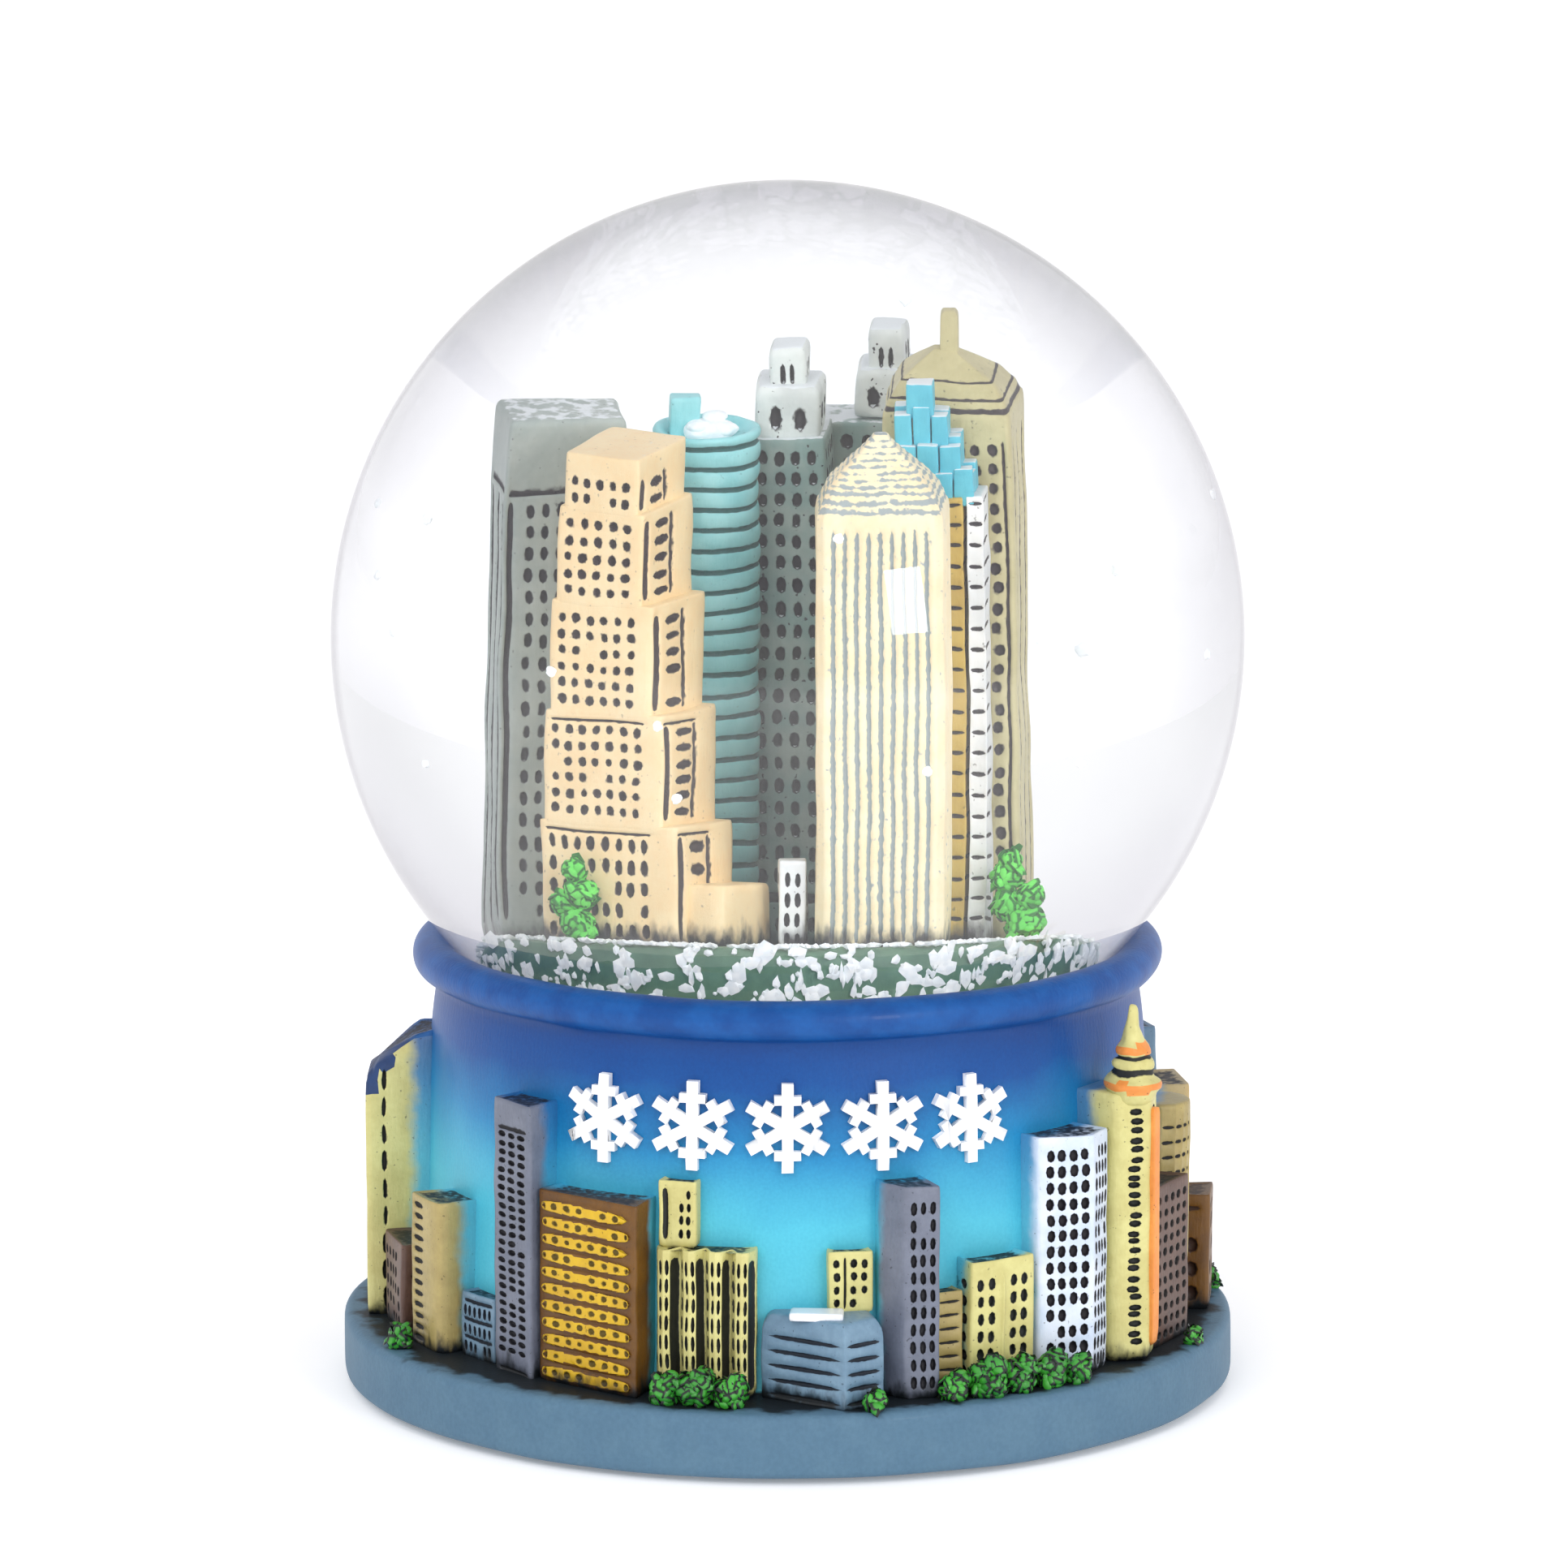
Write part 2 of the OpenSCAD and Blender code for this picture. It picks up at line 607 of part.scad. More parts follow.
module rear_sand_tower() color("burlywood") relief_block(REAR_SAND_TOWER, rear_sand_tower_h);
module rear_blue_slab() color("lightsteelblue") relief_block(REAR_BLUE_SLAB, rear_blue_slab_h);
module rear_brick_hall() color("indianred") relief_block(REAR_BRICK_HALL, rear_brick_hall_h);
module rear_white_tower() color("white") relief_block(REAR_WHITE_TOWER, rear_white_tower_h);

module rear_stepped_tower() color("tan") {
    relief_block(REAR_STEPPED, rear_stepped_h);
    relief_block([[153.5, 2.6], [164.5, 2.6]], 3.4, rear_stepped_h);
    relief_block([[156, 1.8], [162, 1.8]], 6.4, rear_stepped_h);
}

module rear_gold_block() color("goldenrod") relief_block(REAR_GOLD_BLOCK, rear_gold_block_h);
module rear_low_hall() color("slategray") relief_block(REAR_LOW_HALL, rear_low_hall_h);
module rear_grey_tower() color("gray") relief_block(REAR_GREY_TOWER, rear_grey_tower_h);

module rear_round_tower() color("palegoldenrod") relief_block(REAR_ROUND_TOWER, rear_round_tower_h);
module rear_green_tower() color("darkseagreen") relief_block(REAR_GREEN_TOWER, rear_green_tower_h);
module rear_cream_hall() color("khaki") relief_block(REAR_CREAM_HALL, rear_cream_hall_h);
module rear_tan_tower() color("tan") relief_block(REAR_TAN_TOWER, rear_tan_tower_h);
module rear_side_block() color("rosybrown") relief_block(REAR_SIDE_BLOCK, rear_side_block_h);

// ---------------------------------------------------------------- trim on the base

module ledge_bushes(places) {
    difference() {
        for (p = places) relief_at(p[0] + p[1] * hedge_turn, p[2]) bush(p[3] * trim_scale);
        translate([0, 0, plinth_h - 4]) cylinder(r = plinth_r + 2, h = 4);
    }
}

module front_bushes() color("forestgreen") ledge_bushes(FRONT_BUSHES);
module rear_bushes() color("forestgreen") ledge_bushes(REAR_BUSHES);
module snowflake_row() color("white") snowflake_band(flake_count, 0);
module rear_snowflakes() color("white") snowflake_band(3, 180);

base_casting();
base_pad();
stopper();
adhesive_ring();
glass_globe();
water_fill();
skyline_mound();
settled_snow();
slab_tower();
stepped_tower();
round_tower();
twin_crown_tower();
ribbed_tower();
cube_tower();
spire_tower();
low_annex();
left_bush();
right_bush();
rising_flakes();
swirling_flakes();
west_tower();
brown_block();
fin_tower();
low_wing();
tall_slab();
amber_block();
lobed_block();
cream_turret();
terraced_hall();
cream_annex();
grey_tower();
khaki_annex();
cream_block();
grid_tower();
orange_spire();
brick_tower();
round_top_tower();
corner_shop();
rear_sand_tower();
rear_blue_slab();
rear_brick_hall();
rear_white_tower();
rear_stepped_tower();
rear_gold_block();
rear_low_hall();
rear_grey_tower();
rear_round_tower();
rear_green_tower();
rear_cream_hall();
rear_tan_tower();
rear_side_block();
front_bushes();
rear_bushes();
snowflake_row();
rear_snowflakes();
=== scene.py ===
"""Looks of a water globe with a city skyline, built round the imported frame.

Pieces are modelled in millimetres and settled in metres, in the frame's own axes: the front
faces -Y, azimuths are in degrees from the front, and the origin is the underside's centre.
"""

import logging
import math
import random
from dataclasses import dataclass, field, replace
from enum import Enum
from functools import cache
from typing import Iterable, Optional, Union

import bmesh
import bpy
from mathutils import Matrix, Vector, noise


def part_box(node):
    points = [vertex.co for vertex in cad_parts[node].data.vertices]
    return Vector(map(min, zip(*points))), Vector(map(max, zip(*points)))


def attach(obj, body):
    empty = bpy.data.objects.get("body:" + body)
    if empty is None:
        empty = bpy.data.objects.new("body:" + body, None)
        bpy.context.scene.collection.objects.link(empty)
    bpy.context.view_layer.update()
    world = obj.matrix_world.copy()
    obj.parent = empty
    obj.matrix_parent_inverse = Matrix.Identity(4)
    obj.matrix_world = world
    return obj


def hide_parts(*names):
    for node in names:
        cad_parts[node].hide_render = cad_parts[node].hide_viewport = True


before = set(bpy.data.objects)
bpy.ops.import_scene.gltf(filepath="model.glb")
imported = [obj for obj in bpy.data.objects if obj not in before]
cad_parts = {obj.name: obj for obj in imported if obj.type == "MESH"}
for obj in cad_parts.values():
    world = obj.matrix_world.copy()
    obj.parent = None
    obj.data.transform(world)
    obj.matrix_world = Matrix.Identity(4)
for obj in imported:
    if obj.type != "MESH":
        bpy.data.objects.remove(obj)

log = logging.getLogger("globe")

MM = 0.001
SEED = 20
TOUCH = 1e-4

Point = tuple[float, float]
Shade = tuple[int, int, int]
Colour = tuple[float, float, float, float]
Tree = bpy.types.NodeTree
Socket = bpy.types.NodeSocket
Feed = Union[Socket, float, Colour, Vector]
Vert = bmesh.types.BMVert
Edge = bmesh.types.BMEdge
Face = bmesh.types.BMFace

WHITE: Colour = (1, 1, 1, 1)
BLACK: Colour = (0, 0, 0, 1)


# -------- frame and shared sizes


@cache
def box_mm(node: str) -> tuple[Vector, Vector]:
    """Lowest and highest corner of a CAD node.

    Args:
        node: name of the node.

    Returns:
        The two corners in millimetres.
    """
    low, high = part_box(node)
    return low / MM, high / MM


def polar(azimuth: float, radius: float) -> Point:
    """Plan point at an azimuth from the front.

    Args:
        azimuth: degrees from the front, positive towards +X.
        radius: distance from the axis.

    Returns:
        The point's x and y.
    """
    angle = math.radians(azimuth)
    return radius * math.sin(angle), -radius * math.cos(angle)


@dataclass(frozen=True)
class BaseSizes:
    """Sizes of the base that the relief and the paint follow, in millimetres."""

    ledge: float = 5.8
    bead: float = 2.9
    drum_flare: float = 0.5
    drum_tuck: float = 0.7
    plinth_top: float = 5.0
    root: float = 1.6
    sink: float = 0.3
    rim_overlap: float = 0.15

    @property
    def plinth_r(self) -> float:
        """Radius of the plinth."""
        return box_mm("base_casting")[1].x

    @property
    def foot_r(self) -> float:
        """Radius of the drum's foot."""
        return self.plinth_r - self.ledge

    @property
    def drum_r(self) -> float:
        """Radius of the drum at mid height."""
        return self.foot_r - self.drum_flare

    @property
    def bead_r(self) -> float:
        """Radius of the rim bead's section."""
        return self.bead / 2

    @property
    def bead_z(self) -> float:
        """Height of the rim bead's centre."""
        return box_mm("base_casting")[1].z - self.bead_r

    @property
    def rim_z(self) -> float:
        """Height of the drum's top edge."""
        return self.bead_z - self.bead_r + self.rim_overlap


BASE = BaseSizes()


@dataclass(frozen=True)
class GlobeSizes:
    """Sizes of the glass globe, in millimetres."""

    glass: float = 1.5
    neck_r: float = 18.5
    water_overlap: float = 0.04

    @property
    def outer_r(self) -> float:
        """Outer radius of the globe."""
        return box_mm("glass_globe")[1].x

    @property
    def inner_r(self) -> float:
        """Inner radius of the globe."""
        return self.outer_r - self.glass

    @property
    def centre_z(self) -> float:
        """Height of the globe's centre."""
        return box_mm("glass_globe")[1].z - self.outer_r

    @property
    def neck_end_z(self) -> float:
        """Height of the neck's lower end."""
        return box_mm("glass_globe")[0].z

    @property
    def bore_r(self) -> float:
        """Radius of the bore through the neck."""
        return self.neck_r - self.glass


GLOBE = GlobeSizes()
MOUND_TOP = box_mm("skyline_mound")[1].z


# -------- nodes


def linear(shade: Shade) -> Colour:
    """Scene-linear colour of a display shade.

    Args:
        shade: red, green and blue from 0 to 255.

    Returns:
        Red, green, blue and alpha.
    """
    shares = [part / 255 for part in shade]
    return (*(s / 12.92 if s <= 0.04045 else ((s + 0.055) / 1.055) ** 2.4 for s in shares), 1.0)


def feed(tree: Tree, node: bpy.types.Node, inputs: dict[Union[str, int], Feed]) -> None:
    """Feeds a node's sockets.

    Args:
        tree: the node's tree.
        node: the node.
        inputs: socket name or number, with a value or the output that feeds it.
    """
    for key, value in inputs.items():
        if isinstance(value, Socket):
            tree.links.new(value, node.inputs[key])
        else:
            node.inputs[key].default_value = value


def place(tree: Tree, kind: str, inputs: Optional[dict] = None, **settings) -> bpy.types.Node:
    """Adds a node and feeds its sockets.

    Args:
        tree: the tree to add to.
        kind: the node's type.
        inputs: socket name or number, with a value or the output that feeds it.
        **settings: properties to set on the node.

    Returns:
        The node.
    """
    made = tree.nodes.new(kind)
    for name, value in settings.items():
        setattr(made, name, value)
    feed(tree, made, inputs or {})
    return made


def blend(tree: Tree, mask: Feed, low: Feed, high: Feed, mode: str = "MIX") -> Socket:
    """Mixes two colours by a mask.

    Args:
        tree: the tree to add to.
        mask: factor, a number or an output.
        low: colour where the mask is 0.
        high: colour where the mask is 1.
        mode: how the two mix.

    Returns:
        The mixed colour's output.
    """
    mix = place(tree, "ShaderNodeMix", {0: mask, 6: low, 7: high}, data_type="RGBA", blend_type=mode)
    return mix.outputs[2]


def maths(tree: Tree, operation: str, *values: Feed) -> Socket:
    """One sum on numbers or outputs.

    Args:
        tree: the tree to add to.
        operation: the sum.
        *values: its numbers or outputs.

    Returns:
        The result's output.
    """
    return place(tree, "ShaderNodeMath", dict(enumerate(values)), operation=operation).outputs[0]


def ramp_between(tree: Tree, value: Feed, low: Feed, high: Feed, shape: str = "SMOOTHSTEP") -> Socket:
    """Mask that goes from 0 at low to 1 at high.

    Args:
        tree: the tree to add to.
        value: the value to place between the two.
        low: value, or output, where the mask is 0.
        high: value, or output, where the mask is 1.
        shape: how it goes from one to the other.

    Returns:
        The mask's output.
    """
    ends = {0: value, 1: low, 2: high, 3: 0.0, 4: 1.0}
    return place(tree, "ShaderNodeMapRange", ends, interpolation_type=shape).outputs[0]


def colour_ramp(tree: Tree, value: Feed, stops: list[tuple[float, Colour]]) -> Socket:
    """Colours that follow a value.

    Args:
        tree: the tree to add to.
        value: the value.
        stops: value and colour of each stop, in order.

    Returns:
        The colour's output.
    """
    made = place(tree, "ShaderNodeValToRGB", {0: value})
    elements = made.color_ramp.elements
    elements[0].position, elements[0].color = stops[0]
    elements[1].position, elements[1].color = stops[-1]
    for at, colour in stops[1:-1]:
        elements.new(at).color = colour
    return made.outputs[0]


def speckle(tree: Tree, size_mm: float, stretch: Vector = Vector((1, 1, 1)),
            detail: float = 3.0) -> Socket:
    """Noise on object coordinates.

    Args:
        tree: the tree to add to.
        size_mm: size of its patches in millimetres.
        stretch: how much finer it is along each axis.
        detail: octaves of finer noise.

    Returns:
        The noise's output, from 0 to 1.
    """
    coords = place(tree, "ShaderNodeTexCoord").outputs["Object"]
    mapped = place(tree, "ShaderNodeMapping", {"Vector": coords, "Scale": stretch}).outputs[0]
    scale = 1 / (size_mm * MM)
    return place(tree, "ShaderNodeTexNoise", {"Vector": mapped, "Scale": scale,
                                              "Detail": detail}).outputs[0]


def jagged(tree: Tree, value: Feed, size_mm: float, depth: Feed, detail: float = 3.0) -> Socket:
    """Value pushed up and down by noise.

    Args:
        tree: the tree to add to.
        value: the value.
        size_mm: size of the noise's patches in millimetres.
        depth: how far it is pushed, from end to end.
        detail: octaves of finer noise.

    Returns:
        The pushed value's output.
    """
    rough = maths(tree, "SUBTRACT", speckle(tree, size_mm, detail=detail), 0.5)
    return maths(tree, "MULTIPLY_ADD", rough, depth, value)


def height_of(tree: Tree) -> Socket:
    """Height of each point above the underside, in metres."""
    coords = place(tree, "ShaderNodeTexCoord").outputs["Object"]
    return place(tree, "ShaderNodeSeparateXYZ", {0: coords}).outputs[2]


def radius_of(tree: Tree) -> Socket:
    """Distance of each point from the globe's axis, in metres.

    Args:
        tree: the tree to add to.

    Returns:
        The distance's output.
    """
    coords = place(tree, "ShaderNodeTexCoord").outputs["Object"]
    split = place(tree, "ShaderNodeSeparateXYZ", {0: coords})
    plan = place(tree, "ShaderNodeCombineXYZ", {0: split.outputs[0], 1: split.outputs[1]}).outputs[0]
    return place(tree, "ShaderNodeVectorMath", {0: plan}, operation="LENGTH").outputs["Value"]


def bumped(tree: Tree, strength: float, depth_mm: float, height: Socket) -> Socket:
    """Normal that stands up and down with a height.

    Args:
        tree: the tree to add to.
        strength: how strong it is.
        depth_mm: its depth in millimetres.
        height: the height, from 0 to 1.

    Returns:
        The normal's output.
    """
    inputs = {"Strength": strength, "Distance": depth_mm * MM, "Height": height}
    return place(tree, "ShaderNodeBump", inputs).outputs[0]


def blank(label: str) -> tuple[bpy.types.Material, Tree, bpy.types.Node]:
    """New material that is still undressed.

    Args:
        label: the material's name.

    Returns:
        The material, its tree and its shader.
    """
    made = bpy.data.materials.new(label)
    made.use_nodes = True
    return made, made.node_tree, made.node_tree.nodes["Principled BSDF"]


# -------- shared effects


class Effect(Enum):
    """Shader effects that several finishes use."""

    MOTTLE = "mottled paint"
    WASH = "recess wash"
    # painted shade that darkens paint towards the ground
    FOOT_SHADE = "painted foot shade"
    AIRBRUSH = "drum airbrush"
    DRIFT = "spray drift"
    SNOW = "snow cover"
    BRUSHWORK = "brushwork"


class EffectLibrary:
    """The shared effects, each a node group built at its first use."""

    airbrush = ((0.0, (86, 186, 206)), (0.46, (76, 182, 208)), (0.68, (30, 126, 178)),
                (0.86, (4, 70, 138)), (1.0, (2, 58, 126)))

    def __init__(self) -> None:
        """Starts with no groups, and with each effect's wiring, inputs and output."""
        self._groups: dict[Effect, Tree] = {}
        self._plans = {
            Effect.MOTTLE: (self._mottle, {"Base": WHITE, "Second": BLACK, "Amount": 0.6}, "Color"),
            Effect.WASH: (self._wash, {"Ragged": 0.5, "Specks": 0.5}, "Mask"),
            Effect.FOOT_SHADE: (self._foot, {"Ground": 0.0, "Reach": 0.002}, "Mask"),
            Effect.AIRBRUSH: (self._airbrush, {}, "Color"),
            Effect.DRIFT: (self._drift, {"Reach": 0.001}, "Mask"),
            Effect.SNOW: (self._snow, {"Cover": 0.3}, "Mask"),
            Effect.BRUSHWORK: (self._brushwork, {}, "Height"),
        }

    def use(self, tree: Tree, effect: Effect, **inputs: Feed) -> Socket:
        """Places an effect in a material.

        Args:
            tree: the material's tree.
            effect: the effect.
            **inputs: values or outputs for its inputs.

        Returns:
            The output that the effect gives.
        """
        if effect not in self._groups:
            self._groups[effect] = self._build(effect)
        return place(tree, "ShaderNodeGroup", inputs, node_tree=self._groups[effect]).outputs[0]

    def _build(self, effect: Effect) -> Tree:
        """Makes an effect's group.

        Args:
            effect: the effect.

        Returns:
            The group's tree.
        """
        wire, inputs, output = self._plans[effect]
        tree = bpy.data.node_groups.new(effect.value, "ShaderNodeTree")
        for label, value in inputs.items():
            kind = "NodeSocketColor" if isinstance(value, tuple) else "NodeSocketFloat"
            socket = tree.interface.new_socket(name=label, in_out="INPUT", socket_type=kind)
            socket.default_value = value
        kind = "NodeSocketColor" if output == "Color" else "NodeSocketFloat"
        tree.interface.new_socket(name=output, in_out="OUTPUT", socket_type=kind)
        given = place(tree, "NodeGroupInput").outputs
        place(tree, "NodeGroupOutput", {output: wire(tree, given)})
        return tree

    def _mottle(self, tree: Tree, given: dict[str, Socket]) -> Socket:
        """Two tones in soft patches, with fine grain on them.

        Args:
            tree: the group's tree.
            given: its inputs.

        Returns:
            The colour.
        """
        patches = ramp_between(tree, speckle(tree, 2.4), 0.35, 0.65)
        tone = blend(tree, maths(tree, "MULTIPLY", patches, given["Amount"]), given["Base"],
                     given["Second"])
        grain = ramp_between(tree, speckle(tree, 0.35, detail=2.0), 0.2, 0.8)
        return blend(tree, maths(tree, "MULTIPLY", grain, 0.16), tone, WHITE, "SOFT_LIGHT")

    def _wash(self, tree: Tree, given: dict[str, Socket]) -> Socket:
        """Dark wash that settles in recesses, with a ragged edge and stray specks.

        Args:
            tree: the group's tree.
            given: its inputs.

        Returns:
            The mask.
        """
        recess = place(tree, "ShaderNodeAttribute", attribute_name="wash").outputs["Fac"]
        inside = ramp_between(tree, jagged(tree, recess, 0.45, given["Ragged"], 2.0), 0.26, 0.5)
        specks = ramp_between(tree, speckle(tree, 0.28, detail=1.0), 0.71, 0.76)
        return maths(tree, "MAXIMUM", inside, maths(tree, "MULTIPLY", specks, given["Specks"]))

    def _foot(self, tree: Tree, given: dict[str, Socket]) -> Socket:
        """Painted shade that rises from the ground in smudges, darkest at the foot.

        Args:
            tree: the group's tree.
            given: its inputs.

        Returns:
            The mask.
        """
        above = maths(tree, "SUBTRACT", height_of(tree), given["Ground"])
        share = maths(tree, "DIVIDE", above, given["Reach"])
        smudge = maths(tree, "MULTIPLY", speckle(tree, 0.9, Vector((1, 1, 0.45))), 1.5)
        return maths(tree, "SUBTRACT", 1.0, ramp_between(tree, maths(tree, "ADD", share, smudge), 0.75,
                                                         1.45))

    def _airbrush(self, tree: Tree, given: dict[str, Socket]) -> Socket:
        """The drum's sprayed blend, from deep blue under the rim to turquoise at the foot.

        Args:
            tree: the group's tree.
            given: its inputs, of which there are none.

        Returns:
            The colour.
        """
        clouded = jagged(tree, height_of(tree), 7.0, 0.0035)
        share = ramp_between(tree, clouded, BASE.plinth_top * MM, BASE.rim_z * MM, "LINEAR")
        spray = colour_ramp(tree, share, [(at, linear(shade)) for at, shade in self.airbrush])
        mist = ramp_between(tree, speckle(tree, 0.22, detail=1.0), 0.1, 0.9)
        return blend(tree, maths(tree, "MULTIPLY", mist, 0.2), spray, WHITE, "SOFT_LIGHT")

    def _drift(self, tree: Tree, given: dict[str, Socket]) -> Socket:
        """The drum's spray that drifts onto whatever stands near its wall.

        Args:
            tree: the group's tree.
            given: its inputs.

        Returns:
            The mask.
        """
        beyond = maths(tree, "SUBTRACT", radius_of(tree), (BASE.foot_r - 0.2) * MM)
        share = maths(tree, "DIVIDE", beyond, given["Reach"])
        pushed = maths(tree, "ADD", share, maths(tree, "MULTIPLY", speckle(tree, 1.6), 0.9))
        return maths(tree, "SUBTRACT", 1.0, ramp_between(tree, pushed, 0.7, 1.5))

    def _snow(self, tree: Tree, given: dict[str, Socket]) -> Socket:
        """Snow that stays on flat tops.

        Args:
            tree: the group's tree.
            given: its inputs.

        Returns:
            The mask.
        """
        normal = place(tree, "ShaderNodeNewGeometry").outputs["Normal"]
        up = place(tree, "ShaderNodeSeparateXYZ", {0: normal}).outputs[2]
        laid = maths(tree, "ADD", up, maths(tree, "MULTIPLY", speckle(tree, 0.8), 0.8))
        start = maths(tree, "SUBTRACT", 1.65, given["Cover"])
        return ramp_between(tree, laid, start, maths(tree, "ADD", start, 0.12))

    def _brushwork(self, tree: Tree, given: dict[str, Socket]) -> Socket:
        """Brush marks and the cast resin's fine pits.

        Args:
            tree: the group's tree.
            given: its inputs, of which there are none.

        Returns:
            The height.
        """
        streaks = maths(tree, "MULTIPLY", speckle(tree, 0.5, Vector((2.2, 2.2, 0.5)), 2.0), 0.7)
        pits = maths(tree, "MULTIPLY", speckle(tree, 0.16, detail=2.0), 0.3)
        return maths(tree, "ADD", streaks, pits)


EFFECTS = EffectLibrary()


# -------- finishes


@dataclass(frozen=True)
class Paint:
    """Brushed acrylic on cast resin, with a dark wash in its recesses and painted shade towards its foot
    where foot_mm is set.
    """

    name: str
    base: Shade
    second: Shade
    wash: Shade = (44, 38, 42)
    amount: float = 0.6
    ragged: float = 0.5
    specks: float = 0.5
    roughness: float = 0.46
    dulled: float = 0.2
    coat: float = 0.12
    coat_roughness: float = 0.3
    relief_mm: float = 0.05
    # foot_mm, ground_mm and the painted_shade colour paint shade that darkens the paint towards its foot
    foot_mm: float = 0.0
    ground_mm: float = BASE.plinth_top
    painted_shade: Shade = (34, 40, 46)
    drift_mm: float = 0.0
    drift_cover: float = 0.9
    snow: float = 0.0
    snow_shade: Shade = (232, 238, 240)

    def material(self) -> bpy.types.Material:
        """The paint as a material, made once.

        Returns:
            The material.
        """
        label = f"{self.name} paint"
        if label in bpy.data.materials:
            return bpy.data.materials[label]
        made, tree, shader = blank(label)
        colour = EFFECTS.use(
            tree, Effect.MOTTLE, Base=linear(self.base), Second=linear(self.second), Amount=self.amount
        )
        if self.drift_mm:
            drift = EFFECTS.use(tree, Effect.DRIFT, Reach=self.drift_mm * MM)
            spray = EFFECTS.use(tree, Effect.AIRBRUSH)
            colour = blend(tree, maths(tree, "MULTIPLY", drift, self.drift_cover), colour, spray)
        recess = EFFECTS.use(tree, Effect.WASH, Ragged=self.ragged, Specks=self.specks)
        colour = blend(tree, recess, colour, linear(self.wash))
        # painted shade, darkest at the foot and fading upwards
        if self.foot_mm:
            painted_shade = EFFECTS.use(tree, Effect.FOOT_SHADE, Ground=self.ground_mm * MM, Reach=self.foot_mm * MM)
            colour = blend(tree, painted_shade, colour, linear(self.painted_shade))
        if self.snow:
            cover = EFFECTS.use(tree, Effect.SNOW, Cover=self.snow)
            colour = blend(tree, cover, colour, linear(self.snow_shade))
        feed(tree, shader, {
            "Base Color": colour,
            "Roughness": maths(tree, "MULTIPLY_ADD", recess, self.dulled, self.roughness),
            "Coat Weight": self.coat,
            "Coat Roughness": self.coat_roughness,
            "Normal": bumped(tree, 0.8, self.relief_mm, EFFECTS.use(tree, Effect.BRUSHWORK)),
        })
        return made


@dataclass(frozen=True)
class SprayedBase:
    """The base's own paint: sprayed drum, bead, and slate plinth with painted shade on its ledge."""

    name: str = "sprayed base"
    bead: Shade = (4, 66, 134)
    bead_second: Shade = (16, 86, 158)
    plinth: Shade = (82, 114, 136)
    plinth_second: Shade = (74, 106, 130)
    # colour of the painted shade on the ledge under the buildings
    painted_shade: Shade = (20, 28, 34)
    plinth_dull: Colour = (0.62, 0.62, 0.62, 1)
    drum_dull: Colour = (0.42, 0.42, 0.42, 1)
    coat: float = 0.05
    specular: float = 0.3

    def _painted_ledge_shade(self, tree: Tree, height: Socket) -> Socket:
        """Painted shade that lies on the ledge under the buildings, ragged towards its outer edge.

        Args:
            tree: the material's tree.
            height: each point's height.

        Returns:
            The painted shade's mask.
        """
        ragged = jagged(tree, radius_of(tree), 2.2, 0.0042)
        inner = ramp_between(tree, ragged, (BASE.plinth_r - 0.7) * MM, (BASE.plinth_r - 1.9) * MM)
        top = ramp_between(tree, height, (BASE.plinth_top - 0.4) * MM, (BASE.plinth_top - 0.1) * MM)
        return maths(tree, "MULTIPLY", inner, top)

    def material(self) -> bpy.types.Material:
        """The base's paint as a material.

        Returns:
            The material.
        """
        made, tree, shader = blank(self.name)
        height = height_of(tree)
        drum = EFFECTS.use(tree, Effect.AIRBRUSH)
        bead = EFFECTS.use(tree, Effect.MOTTLE, Base=linear(self.bead), Second=linear(self.bead_second))
        slate = EFFECTS.use(
            tree, Effect.MOTTLE, Base=linear(self.plinth), Second=linear(self.plinth_second), Amount=0.5
        )
        on_bead = ramp_between(tree, height, (BASE.rim_z - 0.5) * MM, (BASE.rim_z + 0.5) * MM)
        on_drum = ramp_between(tree, height, (BASE.plinth_top + 0.1) * MM,
                               (BASE.plinth_top + 0.35) * MM)
        # painted shade darkens the ledge under the buildings
        colour = blend(tree, self._painted_ledge_shade(tree, height), slate, linear(self.painted_shade))
        colour = blend(tree, on_drum, colour, drum)
        feed(tree, shader, {
            "Base Color": blend(tree, on_bead, colour, bead),
            "Roughness": blend(tree, on_drum, self.plinth_dull, self.drum_dull),
            "Coat Weight": self.coat,
            "Specular IOR Level": self.specular,
            "Normal": bumped(tree, 0.6, 0.05, EFFECTS.use(tree, Effect.BRUSHWORK)),
        })
        return made


